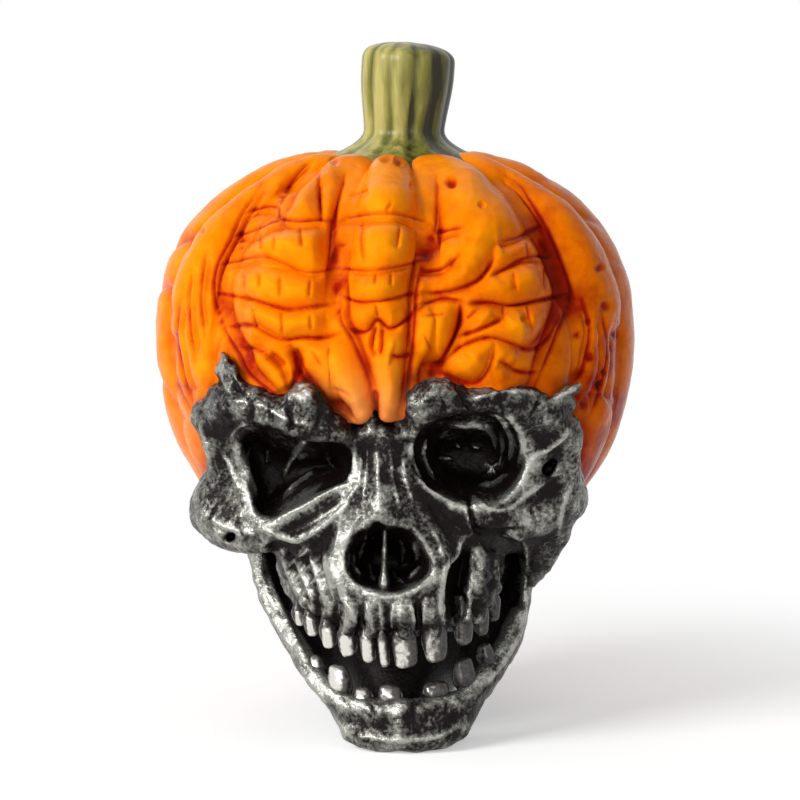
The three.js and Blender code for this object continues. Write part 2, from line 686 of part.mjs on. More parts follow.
// The ridge of bone over the root of an upper tooth.
function rootRidge({ x, width, gum }) {
  const low = point(x, faceFrontAt(gum, x) + RIDGE_SINK, gum);
  const highX = x * RIDGE_LEAN;
  const high = point(highX, faceFrontAt(gum + RIDGE_LENGTH, highX) + RIDGE_SINK, gum + RIDGE_LENGTH);
  const ridge = new THREE.CapsuleGeometry(width * RIDGE_SHARE, low.distanceTo(high), 1, 6);
  const turn = new THREE.Quaternion().setFromUnitVectors(point(0, 1, 0), high.clone().sub(low).normalize());
  return solid(ridge.applyQuaternion(turn).translate(...low.lerp(high, 0.5).toArray()));
}

// The boss under each cheekbone that the jaw's condyle seats in. The side is -1 or 1.
function jointAxis(side) {
  const [x, y, z] = JAW_LINE[JAW_LINE.length - 1].at;
  return { low: point(side * x, y, z + GLUE_GAP), high: point(side * x, y, z + JOINT_BOSS_LENGTH) };
}

function jointBoss(side, grow) {
  const { low, high } = jointAxis(side);
  return rod(low.setZ(low.z - grow), high.setZ(high.z + grow), JOINT_BOSS_RADIUS + grow);
}

// The septum is a thin plate on the nose's midline, with its foot in a slot in the floor of the nose.
function septumPlate(grow) {
  const front = NOSE_FRONT_Y + SEPTUM_SET_BACK;
  const back = NOSE_FRONT_Y + NOSE_DEPTH + SEPTUM_SET_BACK;
  const outline = new THREE.Shape();
  outline.moveTo(front - grow, NOSE_BOTTOM_Z - SEPTUM_SET_BACK - grow);
  outline.lineTo(back + grow, NOSE_BOTTOM_Z - SEPTUM_SET_BACK - grow);
  outline.lineTo(back + grow, NOSE_TOP_Z + grow);
  outline.lineTo(front + SEPTUM_SET_BACK - grow, NOSE_TOP_Z + grow);
  const hollow = [front + SEPTUM_SET_BACK / 2 - grow, NOSE_BOTTOM_Z + SEPTUM_SET_BACK];
  outline.quadraticCurveTo(...hollow, front - grow, NOSE_BOTTOM_Z);
  const thick = SEPTUM_THICKNESS + 2 * grow;
  const plate = new THREE.ExtrudeGeometry(outline, { depth: thick, bevelEnabled: false, curveSegments: 6 });
  // The outline is drawn in Y and Z: its first axis becomes Y, its second Z.
  const stand = new THREE.Matrix4().makeBasis(point(0, 1, 0), point(0, 0, 1), point(1, 0, 0));
  return solid(plate.translate(0, 0, -thick / 2).applyMatrix4(stand));
}

// The keel that the skull stands on, behind the jaw, grown by an offset.
function keel(grow) {
  return solid(loft(KEEL_LEVELS.map((row) => level(row, KEEL_CENTRE_Y, KEEL_SQUARENESS, grow))));
}

// The hollow of the casting, from the crown down to the pour hole in the keel.
function castingHollow() {
  const dome = innerSkin(SHELL_WALL + GLUE_GAP + CAVITY_WALL);
  const size = [4 * SHELL_HALF_WIDTH, 2 * SHELL_HALF_DEPTH, 2 * SHELL_EQUATOR_Z];
  const clearOfFace = new THREE.BoxGeometry(...size);
  clearOfFace.translate(0, EYE_FRONT_Y + EYE_DEPTH + CAVITY_WALL - SHELL_HALF_DEPTH, EYE_Z);
  const bore = rod(point(0, 0, PLUG_THICKNESS), point(0, 0, SHELL_EQUATOR_Z), POUR_HOLE_RADIUS);
  const seat = rod(point(0, 0, -GLUE_GAP), point(0, 0, PLUG_THICKNESS + GLUE_GAP), PLUG_RADIUS + GLUE_GAP);
  return dome.subtract(solid(clearOfFace)).add(bore).add(seat);
}

function skullSolid(forms, teeth) {
  let carved = forms.add(craniumDome().add(keel(0)).transform(toFace));
  carved = carved.add(union(UPPER_TEETH.map(rootRidge)));
  for (const rim of EYE_RIMS) {
    carved = carved.subtract(pocket(rimOutline(rim), EYE_FRONT_Y, EYE_DEPTH, EYE_FLOOR_SHARE));
  }
  for (const side of [-1, 1]) {
    const { low, high } = jointAxis(side);
    const mouth = low.clone().setZ(low.z - CONDYLE_LENGTH);
    carved = carved.subtract(rod(mouth, low.clone().lerp(high, 0.7), CONDYLE_RADIUS + GLUE_GAP));
  }
  carved = carved.subtract(pocket(noseOutline(), NOSE_FRONT_Y, NOSE_DEPTH, 0.8));
  carved = carved.subtract(septumPlate(GLUE_GAP));
  carved = carved.subtract(castingHollow().add(spigotSocket()).transform(toFace));
  for (const tooth of teeth) carved = carved.subtract(tooth);
  return carved;
}

// Jaw

function jawRings(grow) {
  const right = JAW_LINE;
  const left = right.slice(1).map((row) => ({ ...row, at: [-row.at[0], row.at[1], row.at[2]] }));
  const rows = [...left.reverse(), ...right];
  const curve = new THREE.CatmullRomCurve3(rows.map((row) => point(...row.at)));
  const steps = 2 * (rows.length - 1);
  return Array.from({ length: steps + 1 }, (_, step) => {
    const share = step / steps;
    const place = share * (rows.length - 1);
    const low = rows[Math.min(rows.length - 2, Math.floor(place))];
    const high = rows[Math.min(rows.length - 1, Math.floor(place) + 1)];
    const blend = Math.min(1, place - Math.min(rows.length - 2, Math.floor(place)));
    const along = curve.getTangent(share);
    const centre = curve.getPoint(share).addScaledVector(along, (2 * share - 1) * grow);
    const away = point(centre.x, centre.y - FACE_CENTRE_Y, 0);
    const out = away.addScaledVector(along, -away.dot(along)).normalize();
    const up = along.clone().cross(out).normalize();
    const halfA = out.multiplyScalar(THREE.MathUtils.lerp(low.thickness, high.thickness, blend) / 2 + grow);
    const halfB = up.multiplyScalar(THREE.MathUtils.lerp(low.height, high.height, blend) / 2 + grow);
    return ring(centre, halfA, halfB, JAW_SQUARENESS, SWEEP_POINTS);
  });
}

function jawSolid(teeth) {
  let jaw = solid(loft(jawRings(0)));
  for (const side of [-1, 1]) {
    const { low } = jointAxis(side);
    const foot = low.clone().setZ(low.z - CONDYLE_LENGTH);
    jaw = jaw.subtract(jointBoss(side, GLUE_GAP));
    jaw = jaw.add(rod(foot, low.clone().setZ(low.z + CONDYLE_LENGTH), CONDYLE_RADIUS));
  }
  const floor = new THREE.BoxGeometry(4 * SHELL_HALF_WIDTH, 4 * SHELL_HALF_WIDTH, SHELL_HALF_WIDTH);
  floor.translate(0, 0, -SHELL_HALF_WIDTH / 2);
  jaw = jaw.subtract(solid(floor).transform(toFace));
  jaw = jaw.subtract(keel(GLUE_GAP).transform(toFace));
  for (const tooth of teeth) jaw = jaw.subtract(tooth);
  return jaw;
}

// Teeth

// A crown with a waisted neck and a root peg. The edge lies below the gum on an upper tooth.
function toothSolid({ x, width, gum, edge }, archFront, grow) {
  const toEdge = Math.sign(edge - gum);
  const y = -archFront + ARCH_CURVE * x * x;
  const turn = Math.atan(2 * ARCH_CURVE * x);
  const across = point(Math.cos(turn), Math.sin(turn), 0);
  const inward = point(-Math.sin(turn), Math.cos(turn), 0);
  const crown = Math.abs(edge - gum);
  const rows = [
    { along: -ROOT_LENGTH, wide: ROOT_SHARE, deep: ROOT_SHARE },
    { along: 0, wide: 0.84, deep: 0.62 },
    { along: 0.45 * crown, wide: 1, deep: 1 },
    { along: 0.85 * crown, wide: 0.94, deep: 0.72 },
    { along: crown, wide: 0.7, deep: 0.4 },
  ];
  const rings = rows.map(({ along, wide, deep }) => {
    const centre = point(x, y, gum + toEdge * along);
    const halfA = across.clone().multiplyScalar((width / 2) * wide + grow);
    const halfB = inward.clone().multiplyScalar((TOOTH_DEPTH / 2) * deep + grow);
    return ring(centre, halfA, halfB, 2.8, TOOTH_POINTS);
  });
  rings[0].forEach((p) => p.setZ(p.z - toEdge * grow));
  return solid(loft(rings));
}

// Assembly

function addMesh(parent, name, made, paint) {
  const mesh = new THREE.Mesh(geometryOf(made), new THREE.MeshStandardMaterial(paint));
  mesh.name = name;
  parent.add(mesh);
}

const upperSockets = UPPER_TEETH.map((row) => toothSolid(row, UPPER_ARCH_FRONT, GLUE_GAP));
const lowerSockets = LOWER_TEETH.map((row) => toothSolid(row, LOWER_ARCH_FRONT, GLUE_GAP));
const shell = outerSkin(0)
  .subtract(shellInside())
  .subtract(spigotSocket())
  .subtract(faceWindow().transform(fromFace))
  .subtract(faceForms(BONE_CLEARANCE).add(solid(loft(jawRings(BONE_CLEARANCE)))).transform(fromFace))
  .subtract(keel(GLUE_GAP));

addMesh(root, "pumpkin_shell", mainBody(shell), PAINT.pumpkin);
addMesh(root, "stem", stemSolid(outerSkin(GLUE_GAP)), PAINT.stem);
addMesh(face, "skull", mainBody(skullSolid(faceForms(0), upperSockets)), PAINT.bone);
addMesh(face, "nasal_septum", septumPlate(0), PAINT.bone);
addMesh(face, "lower_jaw", mainBody(jawSolid(lowerSockets)), PAINT.bone);
addMesh(root, "base_plug", rod(point(0, 0, 0), point(0, 0, PLUG_THICKNESS), PLUG_RADIUS), PAINT.plug);
UPPER_TEETH.forEach((row, i) => {
  addMesh(face, `upper_tooth_${i + 1}`, toothSolid(row, UPPER_ARCH_FRONT, 0), PAINT.tooth);
});
LOWER_TEETH.forEach((row, i) => {
  addMesh(face, `lower_tooth_${i + 1}`, toothSolid(row, LOWER_ARCH_FRONT, 0), PAINT.tooth);
});

export default root;
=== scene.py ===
"""Looks of a cast resin table decoration: a folded pumpkin grown over a skull, painted by hand.

Up is +Z and the face looks along -Y. Sculpting is done in millimetres, with its lines drawn in
picture points of the front view. Each finished piece is in metres, at the origin.
"""

from __future__ import annotations

import logging
import math
from collections.abc import Callable
from dataclasses import dataclass, field, replace
from enum import Enum

import bpy
import numpy as np
import openvdb
from mathutils import Matrix, Vector, noise

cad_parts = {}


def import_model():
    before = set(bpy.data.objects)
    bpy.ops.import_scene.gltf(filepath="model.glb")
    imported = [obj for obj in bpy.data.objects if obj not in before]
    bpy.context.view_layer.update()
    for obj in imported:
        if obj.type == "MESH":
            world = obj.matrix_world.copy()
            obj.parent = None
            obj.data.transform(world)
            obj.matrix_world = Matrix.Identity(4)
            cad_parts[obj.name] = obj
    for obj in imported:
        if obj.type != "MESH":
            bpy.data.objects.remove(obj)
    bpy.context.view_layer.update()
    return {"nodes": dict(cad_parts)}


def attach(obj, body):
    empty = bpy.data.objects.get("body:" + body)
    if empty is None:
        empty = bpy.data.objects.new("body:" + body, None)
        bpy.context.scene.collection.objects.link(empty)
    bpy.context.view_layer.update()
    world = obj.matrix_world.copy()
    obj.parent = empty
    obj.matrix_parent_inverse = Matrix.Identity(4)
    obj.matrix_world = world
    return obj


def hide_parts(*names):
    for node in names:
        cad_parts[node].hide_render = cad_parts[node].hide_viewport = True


LOG = logging.getLogger("pumpkin_skull")
METRE = 0.001
BODY = "root"
BROW_MIDDLE = -4.5
BROW_HALF_WIDTH = 7.5
TINY = 1e-9
FAR = 1e9

# Rows of numbers, such as the points of a line, and lists of such lines
Rows = tuple[tuple[float, ...], ...]
Lines = tuple[Rows, ...]
Pair = tuple[float, float]
Place = tuple[float, float, float]
# The colours of a ramp, each at its place
Stops = tuple[tuple[float, str], ...]
# A depth along Y for each X and Z
Lap = Callable[[np.ndarray, np.ndarray], np.ndarray]


class Slot(Enum):
    """The record's paint slots, by name; no piece here is given one."""

    PUMPKIN = "pumpkin_paint"
    STEM = "stem_paint"
    BONE = "bone_paint"
    TOOTH = "tooth_paint"


class Tool(Enum):
    """What a sculpting stroke does to the clay."""

    ADD = "add"
    CUT = "cut"


# Small mathematics


def ease(low: float, high: float, value: np.ndarray) -> np.ndarray:
    """Rises smoothly from 0 at low to 1 at high."""
    share = np.clip((value - low) / (high - low), 0.0, 1.0)
    return share * share * (3.0 - 2.0 * share)


def smooth_line(rows: Rows, steps: int) -> np.ndarray:
    """Draws a smooth line through rows of numbers.

    Args:
        rows: the points that the line passes through, with any number of columns.
        steps: how many pieces each stretch is cut into.

    Returns:
        The points of the finer line.
    """
    points = np.array(rows, float)
    if len(points) < 3:
        shares = np.linspace(0.0, 1.0, steps + 1)[:, None]
        return points[0] * (1 - shares) + points[-1] * shares
    ends = np.vstack([2 * points[0] - points[1], points, 2 * points[-1] - points[-2]])
    shares = (np.arange(steps) / steps)[:, None]
    line = []
    for a, b, c, d in zip(ends[:-3], ends[1:-2], ends[2:-1], ends[3:]):
        bend = 2 * a - 5 * b + 4 * c - d
        turn = 3 * b - a - 3 * c + d
        line.append(0.5 * (2 * b + (c - a) * shares + bend * shares**2 + turn * shares**3))
    return np.vstack(line + [points[-1:]])


def line_distance(points: np.ndarray, line: np.ndarray) -> tuple[np.ndarray, np.ndarray]:
    """Measures how far points lie from a line.

    Args:
        points: the places to measure from.
        line: the points of the line.

    Returns:
        The least distance of each point, and the share of the line at which it is met.
    """
    best = np.full(len(points), FAR)
    along = np.zeros(len(points))
    lengths = np.linalg.norm(np.diff(line, axis=0), axis=1)
    total = max(lengths.sum(), TINY)
    start = 0.0
    for a, b, length in zip(line[:-1], line[1:], lengths):
        share = np.clip((points - a) @ (b - a) / max(length * length, TINY), 0.0, 1.0)
        away = np.linalg.norm(points - a - share[:, None] * (b - a), axis=1)
        closer = away < best
        best[closer] = away[closer]
        along[closer] = (start + share[closer] * length) / total
        start += length
    return best, along


def outline_distance(points: np.ndarray, outline: np.ndarray) -> np.ndarray:
    """Measures how far flat points lie from a closed outline.

    Args:
        points: the places to measure from.
        outline: the corners of the outline.

    Returns:
        The signed distance of each point, negative inside.
    """
    best = np.full(len(points), FAR)
    inside = np.zeros(len(points), bool)
    for a, b in zip(outline, np.roll(outline, -1, axis=0)):
        edge = b - a
        share = np.clip((points - a) @ edge / max(edge @ edge, TINY), 0.0, 1.0)
        best = np.minimum(best, np.linalg.norm(points - a - share[:, None] * edge, axis=1))
        spans = (a[1] > points[:, 1]) != (b[1] > points[:, 1])
        rise = edge[1] if abs(edge[1]) > TINY else TINY
        inside ^= spans & (points[:, 0] < a[0] + (points[:, 1] - a[1]) * edge[0] / rise)
    return np.where(inside, -best, best)


def between(held: np.ndarray, at: np.ndarray) -> np.ndarray:
    """Looks up values between the cells of an even grid.

    Args:
        held: the values on the grid, with any number of axes.
        at: where to look, in cells from the first one.

    Returns:
        The value at each place, mixed from the cells round it.
    """
    at = np.clip(at, 0.0, np.array(held.shape) - 1.001)
    cell = at.astype(int)
    share = at - cell
    value = np.zeros(len(at))
    for corner in np.ndindex((2,) * held.ndim):
        weight = np.prod(np.where(corner, share, 1.0 - share), axis=1)
        value += weight * held[tuple((cell + corner).T)]
    return value


def closed_line(rows: Rows, steps: int) -> np.ndarray:
    """Draws a smooth closed line through rows of numbers, each stretch cut into a number of steps."""
    return smooth_line(rows + rows[:1], steps)[:-1]


def rounded_ring(count: int, power: float) -> tuple[np.ndarray, np.ndarray]:
    """Sets out a ring of points, squarer than a circle.

    Args:
        count: how many points it has.
        power: 1 for a circle, and less for a squarer ring.

    Returns:
        The two coordinates of its points, from -1 to 1.
    """
    angle = np.linspace(0.0, 2 * np.pi, count, endpoint=False)
    sides = (np.cos(angle), np.sin(angle))
    return tuple(np.sign(side) * np.abs(side) ** power for side in sides)


def grain(points: np.ndarray, size: float, seed: float) -> np.ndarray:
    """Even noise between about -1 and 1, with lumps of a size in millimetres."""
    shift = Vector((seed, seed * 1.7, seed * 2.3))
    return np.array([noise.noise(Vector(p) / size + shift) for p in points])


@dataclass(frozen=True)
class FrontView:
    """The camera in front of the face, and the picture points that it sees.

    A picture point is counted from the top left corner of a frame 800 points wide and high.
    """

    target: Place = (1.0, 0.0, 67.2)
    distance: float = 650.0
    elevation: float = math.radians(6.0)
    points_per_slope: float = 3054.5
    half_frame: float = 400.0
    sensor: float = 36.0

    def axes(self) -> tuple[np.ndarray, np.ndarray, np.ndarray, np.ndarray]:
        """Works out how the camera stands.

        Returns:
            Its place, and its right, up and forward directions.
        """
        sine, cosine = math.sin(self.elevation), math.cos(self.elevation)
        forward = np.array([0.0, cosine, -sine])
        up = np.array([0.0, sine, cosine])
        eye = np.array(self.target) - forward * self.distance
        return eye, np.array([1.0, 0.0, 0.0]), up, forward

    def picture(self, points: np.ndarray) -> np.ndarray:
        """Picks out where the camera sees places.

        Args:
            points: the places in millimetres.

        Returns:
            Their picture points.
        """
        eye, right, up, forward = self.axes()
        away = points - eye
        reach = away @ forward
        x = self.half_frame + self.points_per_slope * (away @ right) / reach
        y = self.half_frame - self.points_per_slope * (away @ up) / reach
        return np.stack([x, y], axis=1)

    def place(self, picture: np.ndarray, depth: np.ndarray) -> np.ndarray:
        """Finds what lies behind picture points.

        Args:
            picture: the picture points.
            depth: how deep each lies along Y.

        Returns:
            The places in millimetres.
        """
        eye, right, up, forward = self.axes()
        across = (picture[:, :1] - self.half_frame) / self.points_per_slope
        rise = (self.half_frame - picture[:, 1:2]) / self.points_per_slope
        ray = forward + across * right + rise * up
        return eye + ray * ((depth - eye[1]) / ray[:, 1])[:, None]

    def millimetres(self, points: np.ndarray) -> np.ndarray:
        """Size in millimetres of one picture point at each place."""
        eye, _, _, forward = self.axes()
        return ((points - eye) @ forward) / self.points_per_slope

    def rim(self, points: np.ndarray, outline: np.ndarray) -> np.ndarray:
        """Distance in millimetres of places from an outline in picture points, negative inside."""
        return outline_distance(self.picture(points), outline) * self.millimetres(points)


VIEW = FrontView()


def mask_middle(x: np.ndarray) -> np.ndarray:
    """How far places lie in the middle of the brow, where the pumpkin hangs over the bone."""
    return np.exp(-(((x - BROW_MIDDLE) / BROW_HALF_WIDTH) ** 4))


@dataclass(frozen=True)
class Stroke:
    """A tool mark drawn over the front in picture points.

    The width is from its middle to its edge and the depth how far it sinks, both in millimetres.
    A negative depth raises a ridge. It only marks clay between the near and far depths along Y.
    Its section is a power of the distance, or with a sharpness of 0 the meeting of two round folds
    when it sinks and a round swelling when it rises.
    """

    line: Rows
    width: float
    depth: float
    near: float = -80.0
    far: float = 10.0
    sharp: float = 2.0
    taper: float = 0.35

    def section(self, share: np.ndarray) -> np.ndarray:
        """Works out the shape of the mark across its line.

        Args:
            share: places from 0 at its edge to 1 in its middle.

        Returns:
            The share of the depth that each place takes.
        """
        if self.sharp:
            return share**self.sharp
        if self.depth < 0:
            return (1.0 - (1.0 - share) ** 2) ** 2
        return 0.6 * share**1.5 + 0.4 * (1.0 - np.sqrt(1.0 - share**2))


@dataclass(frozen=True)
class Slab:
    """A mass of clay with a sculpted front, set out in picture points.

    The depths are rows of picture x and y and the place of the front along Y. The sides round over
    at the outline, and lean in behind its straight edge by a share of the depth. The rim is ragged,
    and more so towards the second of the torn rows of the picture. The unit and the slack set how
    stiffly the front bends through its depths.
    """

    outline: Rows
    depths: Rows
    rounding: float
    thickness: float
    lean: float
    ragged: float = 0.0
    torn: float = 0.0
    torn_rows: Pair = (446.0, 425.0)
    straight: float = 4.0
    unit: float = 100.0
    slack: float = 0.02

    def edge(self) -> np.ndarray:
        """The outline as a smooth closed line."""
        return closed_line(self.outline, 3)

    def front(self, picture: np.ndarray) -> np.ndarray:
        """Bends a thin plate through the given depths.

        Args:
            picture: the picture points to look at.

        Returns:
            The depth of the front at each of them.
        """
        rows = np.array(self.depths, float)
        known = rows[:, :2] / self.unit
        count = len(known)

        def bend(a: np.ndarray, b: np.ndarray) -> np.ndarray:
            """How a bent plate answers to a push at each known point."""
            square = ((a[:, None, :] - b[None, :, :]) ** 2).sum(2)
            return square * np.log(np.maximum(square, TINY))

        flat = np.hstack([np.ones((count, 1)), known])
        system = np.zeros((count + 3, count + 3))
        system[:count, :count] = bend(known, known) + np.eye(count) * self.slack
        system[:count, count:] = flat
        system[count:, :count] = flat.T
        weights = np.linalg.solve(system, np.concatenate([rows[:, 2], np.zeros(3)]))
        asked = picture / self.unit
        plane = np.hstack([np.ones((len(asked), 1)), asked])
        return bend(asked, known) @ weights[:count] + plane @ weights[count:]


@dataclass
class Surface:
    """A skin of quads and triangles in millimetres, with painted marks on its points.

    Where smooth directions are given, light falls on the points as if they faced that way.
    """

    points: np.ndarray
    quads: np.ndarray
    triangles: np.ndarray
    marks: dict[str, np.ndarray] = field(default_factory=dict)
    smooth: np.ndarray | None = None

    def normals(self) -> np.ndarray:
        """Works out which way the skin faces.

        Returns:
            The outward direction at each point.
        """
        total = np.zeros_like(self.points)
        parts = ((self.quads, (0, 2, 1, 3)), (self.triangles, (0, 1, 0, 2)))
        for faces, (a, b, c, d) in parts:
            if not len(faces):
                continue
            corners = self.points[faces]
            cross = np.cross(corners[:, b] - corners[:, a], corners[:, d] - corners[:, c])
            for corner in range(faces.shape[1]):
                for axis in range(3):
                    total[:, axis] += np.bincount(faces[:, corner], cross[:, axis], len(total))
        return total / np.maximum(np.linalg.norm(total, axis=1), TINY)[:, None]

    def edges(self) -> np.ndarray:
        """Lists the edges of the skin.

        Returns:
            The pairs of points that share an edge, each once.
        """
        pairs = [self.quads[:, [i, (i + 1) % 4]] for i in range(4) if len(self.quads)]
        pairs += [self.triangles[:, [i, (i + 1) % 3]] for i in range(3) if len(self.triangles)]
        return np.unique(np.sort(np.vstack(pairs), axis=1), axis=0)

    def averaged(self, values: np.ndarray, times: int) -> np.ndarray:
        """Evens out values over the skin.

        Args:
            values: one or more numbers for each point.
            times: how often each point takes half of its neighbours' mean.

        Returns:
            The evened values.
        """
        edges = self.edges()
        count = len(self.points)
        near = np.maximum(np.bincount(edges.ravel(), minlength=count), 1)
        columns = values.reshape(count, -1).T.copy()
        for _ in range(times):
            for axis, column in enumerate(columns):
                total = np.bincount(edges[:, 0], column[edges[:, 1]], count)
                total += np.bincount(edges[:, 1], column[edges[:, 0]], count)
                columns[axis] = 0.5 * column + 0.5 * total / near
        return columns.T.reshape(values.shape)

    def facing(self, outward: np.ndarray) -> np.ndarray:
        """Tells the front from the sides and back.

        Args:
            outward: the outward direction at each point.

        Returns:
            How much each point counts as the front, from 0 to 1.
        """
        look = VIEW.axes()[0] - self.points
        look /= np.linalg.norm(look, axis=1)[:, None]
        return ease(0.02, 0.3, np.einsum("ij,ij->i", look, outward))

    def carve(
        self,
        strokes: tuple[Stroke, ...],
        name: str,
        along: np.ndarray | None = None,
        plain: np.ndarray | None = None,
    ) -> None:
        """Marks the skin with strokes and keeps how deep they run as a painted mark.

        Args:
            strokes: the tool marks, of which the deepest counts most where they cross.
            name: the mark that holds the depth in millimetres, negative on ridges.
            along: outward directions to push along, or the skin's own where none are given.
            plain: outward directions that tell the front from the sides, or else the former.
        """
        along = self.normals() if along is None else along
        plain = along if plain is None else plain
        picture = VIEW.picture(self.points)
        size = VIEW.millimetres(self.points)
        front = self.facing(plain)
        sunk = np.zeros(len(self.points))
        raised = np.zeros(len(self.points))
        for stroke in strokes:
            line = smooth_line(stroke.line, 6)
            reach = stroke.width / size.min()
            near = (picture > line.min(0) - reach).all(1) & (picture < line.max(0) + reach).all(1)
            near &= (self.points[:, 1] > stroke.near) & (self.points[:, 1] < stroke.far)
            chosen = np.flatnonzero(near)
            if not len(chosen):
                continue
            away, place = line_distance(picture[chosen], line)
            share = np.clip(1.0 - away * size[chosen] / stroke.width, 0.0, 1.0)
            taper = ease(0.0, 0.18, place) * ease(0.0, 0.18, 1.0 - place)
            taper = stroke.taper + (1.0 - stroke.taper) * taper
            depth = abs(stroke.depth) * taper * front[chosen] * stroke.section(share)
            if stroke.depth > 0:
                sunk[chosen] += depth**3
            else:
                raised[chosen] = np.maximum(raised[chosen], depth)
        total = np.cbrt(sunk) - raised
        self.points = self.points - along * total[:, None]
        self.marks[name] = total

    def dent(self, pits: Rows, name: str) -> None:
        """Sinks round pits into the front.

        Args:
            pits: rows of picture x and y, and radius and depth in millimetres.
            name: the mark that holds the depth.
        """
        picture = VIEW.picture(self.points)
        size = VIEW.millimetres(self.points)
        front = self.facing(self.normals())
        sunk = np.zeros(len(self.points))
        for x, y, radius, depth in pits:
            away = np.hypot(picture[:, 0] - x, picture[:, 1] - y) * size / radius
            sunk = np.maximum(sunk, depth * front * np.clip(1.0 - away * away, 0.0, 1.0) ** 1.5)
        self.points = self.points - self.normals() * sunk[:, None]
        self.marks[name] = sunk

    def roughen(self, size: float, height: float | np.ndarray, seed: float) -> None:
        """Pushes the points in and out by even noise of a height, or of one for each point."""
        push = grain(self.points, size, seed) * height
        self.points = self.points + self.normals() * push[:, None]

    def largest_island(self) -> Surface:
        """Leaves loose crumbs out of a skin that has no marks yet.

        Returns:
            The largest part that hangs together.
        """
        first, second = self.edges().T
        island = np.arange(len(self.points))
        settled = False
        while not settled:
            lowest = np.minimum(island[first], island[second])
            spread = island.copy()
            np.minimum.at(spread, first, lowest)
            np.minimum.at(spread, second, lowest)
            spread = spread[spread]
            settled = bool((spread == island).all())
            island = spread
        kept = island == np.bincount(island).argmax()
        number = np.cumsum(kept) - 1
        quads = number[self.quads[kept[self.quads[:, 0]]]]
        triangles = number[self.triangles[kept[self.triangles[:, 0]]]]
        return Surface(self.points[kept], quads, triangles)

    def make(self, name: str, material: bpy.types.Material) -> bpy.types.Object:
        """Turns the surface into an object.

        Args:
            name: the piece's name.
            material: its finish.

        Returns:
            The finished object, in metres at the origin.
        """
        mesh = bpy.data.meshes.new(name)
        faces = self.quads.reshape(-1, 4).tolist() + self.triangles.reshape(-1, 3).tolist()
        mesh.from_pydata((self.points * METRE).tolist(), [], faces)
        mesh.polygons.foreach_set("use_smooth", np.ones(len(mesh.polygons), bool))
        for key, values in self.marks.items():
            mark = mesh.attributes.new(key, "FLOAT", "POINT")
            mark.data.foreach_set("value", np.asarray(values, np.float32))
        mesh.materials.append(material)
        mesh.update()
        if self.smooth is not None:
            mesh.normals_split_custom_set_from_vertices(self.smooth.tolist())
        piece = bpy.data.objects.new(name, mesh)
        bpy.context.scene.collection.objects.link(piece)
        return piece


def thin_out(piece: bpy.types.Object, loose: np.ndarray, most: int) -> None:
    """Merges small faces at the back of a piece, so that it stays light.

    Args:
        piece: the object to thin out.
        loose: for each of its points, whether faces may merge there.
        most: how many triangles it may keep.
    """
    dense = piece.data
    dense.calc_loop_triangles()
    group = piece.vertex_groups.new(name="back")
    group.add(np.flatnonzero(loose).tolist(), 1.0, "REPLACE")
    modifier = piece.modifiers.new("thin_out", "DECIMATE")
    modifier.ratio = min(1.0, most / len(dense.loop_triangles))
    modifier.vertex_group = group.name
    graph = bpy.context.evaluated_depsgraph_get()
    piece.data = bpy.data.meshes.new_from_object(piece.evaluated_get(graph))
    piece.modifiers.clear()
    piece.vertex_groups.clear()
    bpy.data.meshes.remove(dense)
    piece.data.name = piece.name


def loft(rings: list[np.ndarray]) -> Surface:
    """Joins rings into a closed skin with a fan over each end.

    Args:
        rings: the rings in order, with as many points each.

    Returns:
        The skin, whose last two points are the middles of the fans.
    """
    count = len(rings[0])
    points = np.vstack(rings + [rings[0].mean(0)[None], rings[-1].mean(0)[None]])
    i = np.arange(count)
    j = (i + 1) % count
    starts = np.arange(len(rings)) * count
    quads = [np.stack([a + i, a + j, b + j, b + i], 1) for a, b in zip(starts[:-1], starts[1:])]
    low, high = np.full(count, len(rings) * count), np.full(count, len(rings) * count + 1)
    fans = [np.stack([low, j, i], 1), np.stack([high, starts[-1] + i, starts[-1] + j], 1)]
    return Surface(points, np.vstack(quads), np.vstack(fans))


